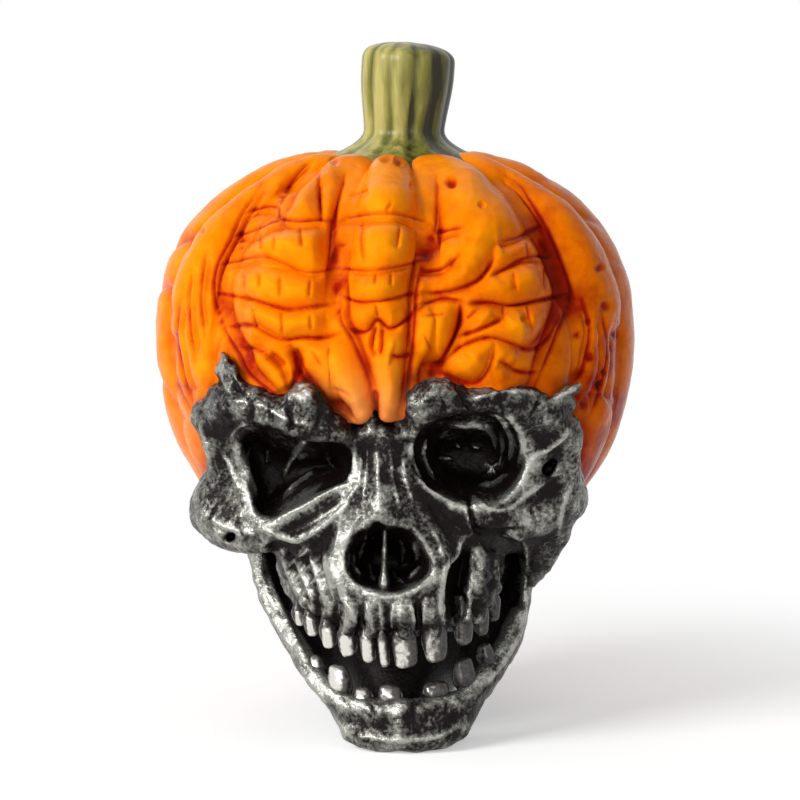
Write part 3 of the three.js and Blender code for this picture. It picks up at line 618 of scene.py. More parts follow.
class Clay:
    """A block of sculpting clay: signed distances in millimetres on an even grid, negative inside."""

    band_cells: int = 12

    def __init__(self, low: Place, high: Place, pitch: float) -> None:
        """Sets out an empty block.

        Args:
            low: its lowest corner.
            high: its highest corner.
            pitch: the spacing of its grid.
        """
        self.pitch = pitch
        self.first = np.round(np.array(low) / pitch).astype(int)
        counts = np.ceil(np.array(high) / pitch).astype(int) - self.first + 1
        self.band = self.band_cells * pitch
        self.field = np.full(tuple(counts), self.band, np.float32)

    def along(self, axis: int, values: np.ndarray) -> np.ndarray:
        """Lays values along one axis of the grid."""
        return values.reshape([-1 if i == axis else 1 for i in range(3)]).astype(np.float32)

    def cells(self, low: np.ndarray, high: np.ndarray) -> tuple[tuple[slice, ...], list[np.ndarray]]:
        """The part of the grid between two corners.

        Args:
            low: its lowest corner.
            high: its highest corner.

        Returns:
            Slices of the grid, and the X, Y and Z of its cells.
        """
        counts = np.array(self.field.shape)
        start = np.clip(np.floor(low / self.pitch).astype(int) - self.first, 0, counts)
        stop = np.clip(np.ceil(high / self.pitch).astype(int) + 1 - self.first, 0, counts)
        spans = [np.arange(a, b) for a, b in zip(start, stop)]
        axes = [(span + first) * self.pitch for span, first in zip(spans, self.first)]
        grid = [self.along(k, axis) for k, axis in enumerate(axes)]
        return tuple(slice(a, b) for a, b in zip(start, stop)), grid

    def places(self, part: tuple[slice, ...], grid: list[np.ndarray]) -> np.ndarray:
        """The places of the cells of a part of the grid, one row each."""
        shape = self.field[part].shape
        return np.stack([np.broadcast_to(axis, shape).ravel() for axis in grid], 1)

    def merge(self, part: tuple[slice, ...], shape: np.ndarray, blend: float, tool: Tool) -> None:
        """Adds or cuts a shape.

        Args:
            part: the part of the grid that the shape lies in.
            shape: its signed distances there, in the shape of the part or in one row.
            blend: the size of the fillet to its surroundings.
            tool: whether clay is added or cut.
        """
        sign = 1.0 if tool is Tool.ADD else -1.0
        a = sign * self.field[part]
        b = shape.reshape(a.shape).astype(np.float32)
        share = np.clip(0.5 + 0.5 * (b - a) / blend, 0.0, 1.0)
        self.field[part] = sign * (b + (a - b) * share - blend * share * (1.0 - share))

    def solid(self, node: bpy.types.Object) -> None:
        """Adds the shape of a solid.

        Args:
            node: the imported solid.
        """
        mesh = node.data
        mesh.calc_loop_triangles()
        points = np.empty(len(mesh.vertices) * 3, np.float32)
        mesh.vertices.foreach_get("co", points)
        faces = np.empty(len(mesh.loop_triangles) * 3, np.int32)
        mesh.loop_triangles.foreach_get("vertices", faces)
        grid = openvdb.FloatGrid.createLevelSetFromPolygons(
            points.reshape(-1, 3) / METRE,
            triangles=faces.reshape(-1, 3).astype(np.uint32),
            transform=openvdb.createLinearTransform(voxelSize=self.pitch),
            halfWidth=float(self.band_cells),
        )
        shape = np.zeros_like(self.field)
        grid.copyToArray(shape, ijk=tuple(int(i) for i in self.first))
        self.field = np.minimum(self.field, shape)

    def bar(self, rows: Rows, blend: float, tool: Tool = Tool.ADD) -> None:
        """Lays or scoops a round bar.

        Args:
            rows: picture x and y, depth along Y and radius in millimetres.
            blend: the size of the fillet to its surroundings.
            tool: whether clay is added or cut.
        """
        line = smooth_line(rows, 4)
        centres = VIEW.place(line[:, :2], line[:, 2])
        radii = line[:, 3]
        reach = radii.max() + blend + 2 * self.pitch
        part, (x, y, z) = self.cells(centres.min(0) - reach, centres.max(0) + reach)
        shape = np.full(self.field[part].shape, self.band, np.float32)
        for a, b, start, end in zip(centres[:-1], centres[1:], radii[:-1], radii[1:]):
            run = b - a
            share = (x - a[0]) * run[0] + (y - a[1]) * run[1] + (z - a[2]) * run[2]
            share = np.clip(share / max(run @ run, TINY), 0.0, 1.0)
            away = (x - a[0] - share * run[0]) ** 2 + (y - a[1] - share * run[1]) ** 2
            away = np.sqrt(away + (z - a[2] - share * run[2]) ** 2)
            shape = np.minimum(shape, away - start - (end - start) * share)
        self.merge(part, shape, blend, tool)

    def lump(self, place: Place, radii: Place, blend: float) -> None:
        """Adds an egg.

        Args:
            place: picture x and y, and depth along Y.
            radii: its half axes along X, Y and Z.
            blend: the size of the fillet to its surroundings.
        """
        centre = VIEW.place(np.array([place[:2]]), np.array([place[2]]))[0]
        size = np.array(radii)
        part, (x, y, z) = self.cells(centre - size - blend - 2, centre + size + blend + 2)
        scaled = ((x - centre[0]) / size[0]) ** 2 + ((y - centre[1]) / size[1]) ** 2
        scaled = np.sqrt(scaled + ((z - centre[2]) / size[2]) ** 2)
        self.merge(part, (scaled - 1.0) * size.min(), blend, Tool.ADD)

    def pocket(self, outline: Rows, front: float, floor: float, slope: float, blend: float) -> None:
        """Cuts a pocket that narrows from an outline in picture points to its floor.

        Args:
            outline: the rim in picture points.
            front: depth along Y from which the walls lean in.
            floor: depth along Y of the floor.
            slope: how far the walls lean in for each millimetre of depth.
            blend: the rounding of its rim and floor.
        """
        closed = closed_line(outline, 4)
        before = -60.0
        margin = 3.0
        fillet = 3.0
        corners = VIEW.place(np.vstack([closed, closed]), np.repeat([before, floor], len(closed)))
        part, grid = self.cells(corners.min(0) - margin, corners.max(0) + margin)
        places = self.places(part, grid)
        rim = VIEW.rim(places, closed) + slope * np.maximum(0.0, places[:, 1] - front)
        deep = places[:, 1] - floor
        share = np.clip(0.5 + 0.5 * (rim - deep) / fillet, 0.0, 1.0)
        walls = deep + (rim - deep) * share + fillet * share * (1.0 - share)
        self.merge(part, walls, blend, Tool.CUT)

    def slab(self, slab: Slab, lap: Lap | None, blend: float) -> None:
        """Adds a slab.

        Args:
            slab: the mass to add.
            lap: where given, the depth that the front lies before, for each X and Z in millimetres.
            blend: the size of the fillet to its surroundings.
        """
        outline = slab.edge()
        border = 12
        low, high = np.floor(outline.min(0)) - border, np.ceil(outline.max(0)) + border
        across, down = np.arange(low[0], high[0] + 1), np.arange(low[1], high[1] + 1)
        spots = np.stack([axis.ravel() for axis in np.meshgrid(across, down, indexing="ij")], 1)
        front = slab.front(spots)
        if lap is not None:
            places = VIEW.place(spots, front)
            front = np.minimum(front, lap(places[:, 0], places[:, 2]))
        rim = outline_distance(spots, outline) * VIEW.millimetres(VIEW.place(spots, front))
        flat = np.stack([spots[:, 0], spots[:, 1], np.zeros(len(spots))], 1)
        torn = slab.ragged * (1.0 + slab.torn * ease(*slab.torn_rows, spots[:, 1]))
        rim = rim + torn * (grain(flat, 12.0, 4.0) + 0.7 * grain(flat, 5.0, 5.0))
        inside = np.clip(slab.rounding + rim, 0.0, slab.rounding)
        front = front + slab.rounding - np.sqrt(np.maximum(slab.rounding**2 - inside**2, 0.0))
        maps = [values.reshape(len(across), len(down)) for values in (front, rim)]
        depths = np.repeat([front.min() - 1.0, front.max() + 4.0], len(outline))
        corners = VIEW.place(np.vstack([outline, outline]), depths)
        part, grid = self.cells(corners.min(0) - 2.0, corners.max(0) + np.array([2.0, 60.0, 2.0]))
        places = self.places(part, grid)
        at = VIEW.picture(places) - low
        behind = places[:, 1] - between(maps[0], at)
        side = between(maps[1], at) + slab.lean * np.maximum(0.0, behind - slab.straight)
        solid = np.maximum(np.maximum(-0.8 * behind, side), behind - slab.thickness)
        self.merge(part, solid, blend, Tool.ADD)

    def keep_within(self, axis: int, low: float, high: float) -> None:
        """Cuts away the clay outside a range along an axis."""
        at = (np.arange(self.field.shape[axis]) + self.first[axis]) * self.pitch
        self.field = np.maximum(self.field, self.along(axis, np.maximum(low - at, at - high)))

    def soften(self, times: int) -> None:
        """Rounds the clay a little, as a wet sponge does.

        Args:
            times: how often the sponge goes over it.
        """
        for _ in range(times):
            for axis in range(3):
                ahead = np.roll(self.field, 1, axis)
                behind = np.roll(self.field, -1, axis)
                self.field = 0.5 * self.field + 0.25 * (ahead + behind)

    def shade(self, points: np.ndarray, reach: float) -> np.ndarray:
        """Measures how far places are sunk among the clay round them.

        Args:
            points: the places in millimetres.
            reach: how far round each place counts.

        Returns:
            The share of clay there: 0.5 on a flat, and more in a hollow.
        """
        held = np.clip(0.5 - self.field / self.pitch, 0.0, 1.0)
        half = max(1, int(round(reach / self.pitch)))
        width = 2 * half + 1
        for axis in [axis for axis in range(3) for _ in range(2)]:
            before = np.repeat(np.take(held, [0], axis), half + 1, axis)
            after = np.repeat(np.take(held, [-1], axis), half, axis)
            total = np.cumsum(np.concatenate([before, held, after], axis), axis, dtype=np.float64)
            first = np.arange(held.shape[axis])
            summed = np.take(total, first + width, axis) - np.take(total, first, axis)
            held = (summed / width).astype(np.float32)
        return between(held, points / self.pitch - self.first)

    def surface(self) -> Surface:
        """Takes the skin off the clay.

        Returns:
            The skin, with its faces pointing out.
        """
        block = self.field.copy()
        for axis in range(3):
            edge = [slice(None)] * 3
            for end in (0, -1):
                edge[axis] = end
                block[tuple(edge)] = np.maximum(block[tuple(edge)], self.pitch)
        grid = openvdb.FloatGrid(float(self.band))
        grid.transform = openvdb.createLinearTransform(voxelSize=self.pitch)
        grid.copyFromArray(block, ijk=tuple(int(i) for i in self.first))
        points, triangles, quads = grid.convertToPolygons(0.0, 0.0)
        points = np.array(points, float)
        quads = np.array(quads, int).reshape(-1, 4)
        triangles = np.array(triangles, int).reshape(-1, 3)
        a, b, c, d = points[quads].transpose(1, 0, 2)
        outward = (a * np.cross(c - a, d - b)).sum() > 0
        turn = 1 if outward else -1
        return Surface(points, quads[:, ::turn], triangles[:, ::turn])


# Finishes


def linear(code: str) -> tuple[float, float, float, float]:
    """Linear colour of an sRGB hex value."""
    parts = [int(code[i : i + 2], 16) / 255 for i in (1, 3, 5)]
    return tuple(c / 12.92 if c <= 0.04045 else ((c + 0.055) / 1.055) ** 2.4 for c in parts) + (1.0,)


def add_node(
    tree: bpy.types.NodeTree, kind: str, inputs: dict, stops: Stops = (), **settings: object
) -> bpy.types.Node:
    """Adds a node with its settings and links.

    Args:
        tree: the tree to add to.
        kind: the node's type.
        inputs: a value, or another node's output socket, for each input by name or number.
        stops: for a colour ramp, places from 0 to 1 in rising order, each with an sRGB hex value.
        settings: values of the node's own properties.

    Returns:
        The new node.
    """
    node = tree.nodes.new(kind)
    for key, value in settings.items():
        setattr(node, key, value)
    for key, value in inputs.items():
        socket = node.inputs[key]
        if isinstance(value, bpy.types.NodeSocket):
            tree.links.new(value, socket)
        else:
            socket.default_value = value
    if stops:
        elements = node.color_ramp.elements
        for element, (place, code) in zip(elements, (stops[0], stops[-1])):
            element.position = place
            element.color = linear(code)
        for place, code in stops[1:-1]:
            elements.new(place).color = linear(code)
    return node


def new_material(name: str) -> tuple[bpy.types.Material, bpy.types.NodeTree, bpy.types.NodeSocket]:
    """Starts an empty material.

    Args:
        name: its name.

    Returns:
        The material, its node tree, and its Object coordinates.
    """
    material = bpy.data.materials.new(name)
    material.use_nodes = True
    material.node_tree.nodes.clear()
    place = add_node(material.node_tree, "ShaderNodeTexCoord", {})
    return material, material.node_tree, place.outputs["Object"]


def per_metre(size: float) -> float:
    """Texture scale that gives features of a size in millimetres."""
    return 1.0 / (size * METRE)


@dataclass(frozen=True)
class PumpkinPaint:
    """Orange acrylic brushed on cast resin, with a crimson wash that has run into the folds, and painted
    shade towards crimson on the right.
    """

    crest: str = "#ff9408"
    body: str = "#f27602"
    wash: str = "#ae1f08"
    deep: str = "#4a0a06"
    blush: str = "#f59a50"
    sheen: str = "#ffa348"
    specular: float = 0.1
    unevenness: float = 0.62
    brush_mark: float = 5.0
    casting_grit: float = 0.7

    def material(self) -> bpy.types.Material:
        """Mixes orange that warms to crimson where the wash or the painted shade is strong, under a satin
        varnish.

        Returns:
            The material.
        """
        material, tree, place = new_material("acrylic_painted_resin_orange")
        wash = add_node(tree, "ShaderNodeAttribute", {}, attribute_name="wash").outputs["Fac"]
        blush = add_node(tree, "ShaderNodeAttribute", {}, attribute_name="blush").outputs["Fac"]
        strokes = {"Scale": per_metre(self.brush_mark), "Detail": 4.0, "Roughness": 0.6}
        brush = add_node(tree, "ShaderNodeTexNoise", {"Vector": place} | strokes).outputs["Fac"]
        streak = add_node(tree, "ShaderNodeMath", {0: brush, 1: 0.5}, operation="SUBTRACT").outputs[0]
        mixing = {0: streak, 1: self.unevenness, 2: wash}
        uneven = add_node(tree, "ShaderNodeMath", mixing, operation="MULTIPLY_ADD").outputs[0]
        stops = ((0.0, self.crest), (0.25, self.body), (0.62, self.wash), (1.0, self.deep))
        tone = add_node(tree, "ShaderNodeValToRGB", {"Fac": uneven}, stops).outputs["Color"]
        tint = {0: blush, 6: tone, 7: linear(self.blush)}
        tinted = add_node(tree, "ShaderNodeMix", tint, data_type="RGBA").outputs[2]
        gritty = {"Vector": place, "Scale": per_metre(self.casting_grit), "Detail": 3.0}
        grit = add_node(tree, "ShaderNodeTexNoise", gritty).outputs["Fac"]
        relief = {"Height": grit, "Strength": 0.18, "Distance": 0.0002}
        bump = add_node(tree, "ShaderNodeBump", relief).outputs[0]
        satin = {"Value": brush, "To Min": 0.2, "To Max": 0.36}
        varnish = add_node(tree, "ShaderNodeMapRange", satin).outputs[0]
        skin = {"Base Color": tinted, "Roughness": varnish, "Normal": bump}
        gloss = {"Specular IOR Level": self.specular, "Specular Tint": linear(self.sheen)}
        shader = add_node(tree, "ShaderNodeBsdfPrincipled", skin | gloss)
        add_node(tree, "ShaderNodeOutputMaterial", {"Surface": shader.outputs[0]})
        return material


@dataclass(frozen=True)
class BonePaint:
    """Gloss black lacquer on cast resin, dry-brushed with pewter on everything that stands out, and lighter
    where light is painted in.
    """

    # Black lacquer and smoke are tinted warm, a painted reflection of the orange pumpkin
    lacquer_and_warm_reflection: str = "#150e0d"
    smoke: str = "#221d1c"
    pewter: str = "#6c6c66"
    bright: str = "#a6a69f"
    specular: float = 0.09
    drag: float = 1.3
    brush_speck: float = 0.8
    brush_mark: float = 4.0

    def material(self) -> bpy.types.Material:
        """Leaves black in the hollows, with broken pewter on the ridges where the brush has dragged, and more
        where light is painted in.

        Returns:
            The material.
        """
        material, tree, place = new_material("pewter_dry_brushed_black_lacquer")
        pewter_and_painted_light = add_node(tree, "ShaderNodeAttribute", {}, attribute_name="pewter_and_painted_light").outputs["Fac"]
        fine = {"Vector": place, "Scale": per_metre(self.brush_speck), "Detail": 3.0, "Roughness": 0.65}
        speck = add_node(tree, "ShaderNodeTexNoise", fine).outputs["Fac"]
        broad = {"Vector": place, "Scale": per_metre(self.brush_mark), "Detail": 3.0}
        mark = add_node(tree, "ShaderNodeTexNoise", broad).outputs["Fac"]
        broken = add_node(tree, "ShaderNodeMath", {0: speck, 1: mark}, operation="ADD").outputs[0]
        drag = add_node(tree, "ShaderNodeMath", {0: broken, 1: 1.0}, operation="SUBTRACT").outputs[0]
        mixing = {0: drag, 1: self.drag, 2: pewter_and_painted_light}
        cover = add_node(tree, "ShaderNodeMath", mixing, operation="MULTIPLY_ADD").outputs[0]
        stops = ((0.12, self.lacquer_and_warm_reflection), (0.36, self.smoke), (0.66, self.pewter), (1.0, self.bright))
        metallic = {"Value": cover, "From Min": 0.28, "From Max": 0.75, "To Max": 0.78}
        satin = {"Value": cover, "From Min": 0.1, "From Max": 0.7, "To Min": 0.2, "To Max": 0.27}
        relief = {"Height": speck, "Strength": 0.7, "Distance": 0.0004}
        skin = {
            "Base Color": add_node(tree, "ShaderNodeValToRGB", {"Fac": cover}, stops).outputs["Color"],
            "Metallic": add_node(tree, "ShaderNodeMapRange", metallic).outputs[0],
            "Roughness": add_node(tree, "ShaderNodeMapRange", satin).outputs[0],
            "Specular IOR Level": self.specular,
            "Normal": add_node(tree, "ShaderNodeBump", relief).outputs[0],
        }
        shader = add_node(tree, "ShaderNodeBsdfPrincipled", skin)
        add_node(tree, "ShaderNodeOutputMaterial", {"Surface": shader.outputs[0]})
        return material


@dataclass(frozen=True)
class StemPaint:
    """Glossy olive acrylic with a dark umber wash in the flutes and straw dry-brushed ribs, with painted
    light on the left side and painted shade on the right.
    """

    straw: str = "#b9ae68"
    olive: str = "#83803a"
    umber: str = "#2e2a10"
    roughness: float = 0.3
    specular: float = 0.25
    streak: float = 2.0
    stretch: float = 0.14

    def material(self) -> bpy.types.Material:
        """Mixes olive that darkens in each flute and on the painted shaded right side, with streaks that run
        up the stem.

        Returns:
            The material.
        """
        material, tree, place = new_material("gloss_olive_painted_resin")
        wash = add_node(tree, "ShaderNodeAttribute", {}, attribute_name="wash").outputs["Fac"]
        drawn = {"Vector": place, "Scale": (1.0, 1.0, self.stretch)}
        long = add_node(tree, "ShaderNodeMapping", drawn).outputs[0]
        streaky = {"Vector": long, "Scale": per_metre(self.streak), "Detail": 4.0}
        streak = add_node(tree, "ShaderNodeTexNoise", streaky).outputs["Fac"]
        uneven = add_node(tree, "ShaderNodeMath", {0: streak, 1: wash}, operation="ADD").outputs[0]
        stops = ((0.34, self.straw), (0.62, self.olive), (1.0, self.umber))
        relief = {"Height": streak, "Strength": 0.3, "Distance": 0.0004}
        skin = {
            "Base Color": add_node(tree, "ShaderNodeValToRGB", {"Fac": uneven}, stops).outputs["Color"],
            "Roughness": self.roughness,
            "Specular IOR Level": self.specular,
            "Normal": add_node(tree, "ShaderNodeBump", relief).outputs[0],
        }
        shader = add_node(tree, "ShaderNodeBsdfPrincipled", skin)
        add_node(tree, "ShaderNodeOutputMaterial", {"Surface": shader.outputs[0]})
        return material


@dataclass(frozen=True)
class ToothPaint:
    """Pewter over black lacquer, rubbed bright on the crowns and left dark at the gums, with a painted
    highlight down each crown.
    """

    dark: str = "#101011"
    pewter: str = "#5f5955"
    bright: str = "#dedcd5"
    roughness: float = 0.13
    break_up: float = 0.85
    speck: float = 0.9

    def material(self) -> bpy.types.Material:
        """Rubs on bright satin pewter, with its painted highlight, that breaks up into black towards the gum.

        Returns:
            The material.
        """
        material, tree, place = new_material("rubbed_pewter_paint")
        pewter_and_painted_light = add_node(tree, "ShaderNodeAttribute", {}, attribute_name="pewter_and_painted_light").outputs["Fac"]
        fine = {"Vector": place, "Scale": per_metre(self.speck), "Detail": 3.0}
        speck = add_node(tree, "ShaderNodeTexNoise", fine).outputs["Fac"]
        mixing = {0: speck, 1: self.break_up, 2: pewter_and_painted_light}
        cover = add_node(tree, "ShaderNodeMath", mixing, operation="MULTIPLY_ADD").outputs[0]
        stops = ((0.38, self.dark), (0.72, self.pewter), (1.0, self.bright))
        metallic = {"Value": cover, "From Min": 0.4, "From Max": 1.0, "To Max": 0.75}
        relief = {"Height": speck, "Strength": 0.35, "Distance": 0.0003}
        skin = {
            "Base Color": add_node(tree, "ShaderNodeValToRGB", {"Fac": cover}, stops).outputs["Color"],
            "Metallic": add_node(tree, "ShaderNodeMapRange", metallic).outputs[0],
            "Roughness": self.roughness,
            "Normal": add_node(tree, "ShaderNodeBump", relief).outputs[0],
        }
        shader = add_node(tree, "ShaderNodeBsdfPrincipled", skin)
        add_node(tree, "ShaderNodeOutputMaterial", {"Surface": shader.outputs[0]})
        return material


@dataclass(frozen=True)
class PlugResin:
    """Bare dark casting resin, wiped flat with a spatula."""

    body: str = "#1c1c1d"
    scum: str = "#2e2d2c"
    roughness: float = 0.62
    swirl: float = 2.5

    def material(self) -> bpy.types.Material:
        """Leaves a dull near-black with faint swirls.

        Returns:
            The material.
        """
        material, tree, place = new_material("bare_casting_resin")
        stirred = {"Vector": place, "Scale": per_metre(self.swirl), "Detail": 4.0, "Distortion": 1.5}
        swirl = add_node(tree, "ShaderNodeTexNoise", stirred).outputs["Fac"]
        mixing = {0: swirl, 6: linear(self.body), 7: linear(self.scum)}
        tone = add_node(tree, "ShaderNodeMix", mixing, data_type="RGBA").outputs[2]
        relief = {"Height": swirl, "Strength": 0.3, "Distance": 0.0003}
        bump = add_node(tree, "ShaderNodeBump", relief).outputs[0]
        skin = {"Base Color": tone, "Roughness": self.roughness, "Normal": bump}
        shader = add_node(tree, "ShaderNodeBsdfPrincipled", skin)
        add_node(tree, "ShaderNodeOutputMaterial", {"Surface": shader.outputs[0]})
        return material


# Sub-assemblies


def stand_in(piece: bpy.types.Object, node: str) -> bpy.types.Object:
    """Puts a piece on the body in place of a solid.

    Args:
        piece: the finished piece.
        node: the solid that it stands for.

    Returns:
        The same piece.
    """
    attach(piece, BODY)
    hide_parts(node)
    return piece


@dataclass
class Pumpkin:
    """The folded pumpkin cap, a closed skin that rolls in under the bone at its torn front edge."""

    half_width: float = 48.3
    half_depth: float = 46.9
    equator: float = 82.0
    crown: float = 38.0
    belly: float = 52.0
    squareness: float = 2.15
    swell: float = 3.2
    seams: tuple[float, ...] = (-15.5, 9.5, 50, 76, 110, 145, 180, 215, 250, 284, 310)
    dip: float = 3.5
    dip_radius: float = 20.0
    front_columns: int = 500
    back_columns: int = 140
    front_half: float = 72.0
    low_rows: int = 40
    high_rows: int = 300
    low_latitude: float = -24.0
    last_latitude: float = 88.5
    rim_height: float = 48.3
    rim_depth: float = -24.0
    rim_slope: float = math.tan(math.radians(22.0))
    edge_lap: float = 1.2
    edge_roll: float = 2.4
    tip_rise: float = 3.4
    edge_depth: float = 34.0
    edge_pull: float = 14.0
    edge_aim: float = 8.0
    core_rise: float = 10.0
    core_step: float = 0.001
    slice_names: tuple[str, ...] = ("left_lobes", "middle_lobe", "right_lobes", "back_lobes")
    face_behind: float = -8.0
    # Width and depth of each kind of mark, where a negative depth swells out
    seam_size: Pair = (7.5, 4.2)
    fold_size: Pair = (5.6, 3.0)
    nick_size: Pair = (2.8, 1.1)
    drape_size: Pair = (3.8, 2.2)
    gap_size: Pair = (2.2, 3.6)
    finger_size: Pair = (6.5, -1.8)
    knife_size: Pair = (0.7, 0.5)
    fine_knife_size: Pair = (0.6, 0.4)
    # Long seams between the lobes
    seam_lines: Lines = (
        (
            (346, 174), (340, 195), (336, 220), (335, 245), (334, 270), (337, 295), (340, 320), (352, 340),
            (365, 370), (372, 395), (374, 425),
        ),
        (
            (437, 176), (437, 195), (436, 220), (431, 240), (422, 270), (417, 292), (416, 312), (414, 340),
            (410, 370), (407, 392), (400, 418),
        ),
        (
            (262, 184), (242, 212), (232, 235), (217, 265), (214, 290), (222, 325), (237, 352), (250, 375),
            (285, 404),
        ),
        ((506, 175), (522, 187), (542, 220), (560, 260), (570, 295), (556, 337), (540, 375), (532, 392)),
        ((288, 347), (298, 368), (312, 388), (327, 404), (340, 416), (352, 425)),
        ((462, 300), (458, 327), (444, 355), (432, 372), (426, 395)),
    )
    # Folds that cross the lobes
    fold_lines: Lines = (
        ((315, 157), (295, 177), (277, 208)),
        ((319, 170), (319, 190), (322, 217)),
        ((338, 222), (352, 216), (385, 212), (410, 216), (434, 226)),
        ((336, 267), (365, 270), (392, 267), (424, 260)),
        ((338, 294), (357, 301), (380, 300), (418, 292)),
        ((342, 325), (358, 332), (368, 330), (377, 319), (390, 328), (404, 322), (416, 310)),
        ((240, 214), (258, 208), (276, 206), (279, 217), (297, 220), (320, 219), (337, 222)),
        ((234, 236), (252, 230), (270, 222), (284, 219)),
        ((218, 265), (235, 261), (262, 256), (285, 263), (303, 271), (322, 271), (335, 266)),
        ((216, 293), (247, 298), (270, 305), (290, 309), (315, 306), (338, 303)),
        ((225, 327), (250, 325), (265, 333), (283, 340), (302, 338), (325, 338), (342, 332)),
        ((240, 345), (262, 352), (280, 368), (288, 388)),
        ((290, 345), (296, 362), (293, 385), (289, 402)),
        ((390, 355), (400, 357), (412, 353)),
        ((417, 312), (430, 302), (446, 298), (464, 302)),
        ((436, 232), (450, 229), (464, 227)),
        ((500, 241), (520, 236), (542, 225)),
        ((421, 272), (442, 268), (460, 255)),
        ((419, 291), (440, 292), (462, 287), (480, 278), (492, 262), (495, 244)),
        ((492, 275), (515, 263), (532, 256), (556, 258)),
        ((464, 303), (490, 302), (512, 305), (540, 300), (570, 293)),
        ((460, 336), (480, 330), (500, 320), (508, 312)),
        ((442, 363), (462, 347), (490, 338), (512, 343), (530, 350), (548, 338), (560, 315)),
        ((436, 370), (460, 382), (478, 382), (490, 367), (496, 345)),
        ((500, 360), (520, 372), (540, 372)),
    )
    # Short nicks across the folds
    nick_lines: Lines = (
        ((362, 222), (361, 240), (363, 262)), ((400, 226), (397, 248)), ((376, 273), (375, 284)),
        ((391, 273), (391, 285)), ((242, 232), (241, 252)), ((260, 238), (260, 249)),
        ((274, 236), (273, 250)), ((300, 228), (302, 246)), ((243, 273), (243, 289)),
        ((259, 273), (259, 288)), ((280, 276), (279, 297)), ((310, 279), (309, 297)),
        ((251, 306), (258, 330)), ((281, 310), (282, 334)), ((310, 314), (311, 330)),
        ((376, 305), (378, 316)), ((392, 202), (385, 211)), ((350, 196), (368, 189)),
        ((347, 240), (338, 250)), ((262, 355), (271, 361), (280, 368)),
        ((332, 388), (342, 392), (352, 398)), ((310, 350), (322, 366)), ((527, 242), (529, 258)),
        ((541, 240), (548, 254)), ((514, 272), (517, 291)), ((544, 268), (546, 290)),
        ((457, 256), (450, 266)), ((478, 309), (466, 319)), ((503, 306), (505, 322)),
        ((527, 304), (533, 330)), ((495, 343), (494, 360)), ((424, 316), (446, 313)),
        ((425, 335), (432, 350)), ((552, 268), (556, 288)),
    )
    # Deep gaps between the lowest folds
    gap_lines: Lines = (
        ((375, 323), (371, 338), (370, 352), (378, 360)),
        ((382, 326), (382, 345), (379, 360)),
        ((290, 348), (296, 364), (293, 384)),
        ((262, 355), (272, 361), (281, 369)),
        ((373, 392), (374, 408), (374, 426)),
    )
    # The crests of the fat folds, which swell out
    finger_lines: Lines = (
        ((308, 346), (326, 368), (346, 392), (360, 414)),
        ((402, 332), (396, 362), (388, 392), (382, 416)),
        ((252, 350), (272, 378), (282, 396)),
        ((440, 308), (438, 335), (426, 360)),
        ((470, 366), (492, 352), (520, 362)),
        ((475, 318), (500, 330), (530, 330)),
        ((386, 175), (386, 225), (380, 280), (366, 318)),
        ((250, 245), (290, 245), (325, 245)),
        ((235, 280), (280, 288), (325, 288)),
        ((240, 312), (280, 322), (325, 322)),
    )
    # Drapery down the left and right sides
    drape_lines: Lines = (
        ((206, 250), (202, 275), (200, 300), (205, 335)),
        ((192, 270), (188, 300), (190, 330), (194, 360)),
        ((180, 300), (176, 332), (182, 370), (192, 400)),
        ((168, 325), (170, 360), (180, 392), (192, 412)),
        ((160, 340), (163, 375), (170, 407), (186, 430)),
        ((582, 300), (590, 330), (584, 365), (572, 385)),
        ((602, 310), (608, 350), (600, 390), (590, 415)),
        ((618, 320), (620, 360), (612, 405)),
    )
    # Casting pits: picture x and y, radius and depth
    pits: Rows = (
        (386, 155, 2.0, 0.8), (400, 160, 1.6, 0.9), (412, 154, 1.4, 0.7), (451, 182, 1.5, 1.2),
        (335, 161, 1.2, 0.7), (482, 204, 0.9, 0.6), (600, 268, 1.3, 0.9), (607, 306, 1.4, 0.9),
        (577, 335, 1.2, 0.8), (590, 357, 1.3, 0.8), (202, 230, 1.0, 0.6), (615, 335, 1.1, 0.6),
        (598, 385, 1.4, 0.8), (583, 405, 1.3, 0.8), (413, 185, 0.9, 0.5), (604, 372, 1.0, 0.6),
        (588, 322, 0.9, 0.5), (525, 318, 1.0, 0.5),
    )
    # Where peach is brushed on: picture x and y, half width and height, and strength
    blush_spots: Rows = ((362, 410, 50, 30, 0.8), (190, 425, 26, 40, 0.28))

    def lobe(self, azimuth: np.ndarray) -> np.ndarray:
        """Finds how far the lobes swell.

        Args:
            azimuth: degrees round the axis from the front.

        Returns:
            A share from 0 in a seam to 1 on a crest.
        """
        seams = np.sort(np.mod(np.array(self.seams), 360.0))
        ends = np.concatenate([[seams[-1] - 360.0], seams, [seams[0] + 360.0]])
        turn = np.mod(azimuth, 360.0)
        above = np.searchsorted(ends, turn, side="right")
        low, high = ends[above - 1], ends[above]
        return np.sin(np.pi * (turn - low) / (high - low)) ** 0.6

    def front_at(self, x: np.ndarray, z: np.ndarray) -> np.ndarray:
        """Finds the plain front of the pumpkin.

        Args:
            x: places along X.
            z: places along Z.

        Returns:
            The depth of the front along Y at each of them.
        """
        rise = np.where(z > self.equator, self.crown, self.belly)
        up = np.clip(np.abs(z - self.equator) / rise, 0.0, 1.0)
        out = np.maximum(1.0 - up**self.squareness, 1e-6) ** (1.0 / self.squareness)
        across = np.clip(np.abs(x) / (self.half_width * out), 0.0, 0.999)
        return -(self.half_depth * out + 0.6 * self.swell) * np.sqrt(1.0 - across**2)

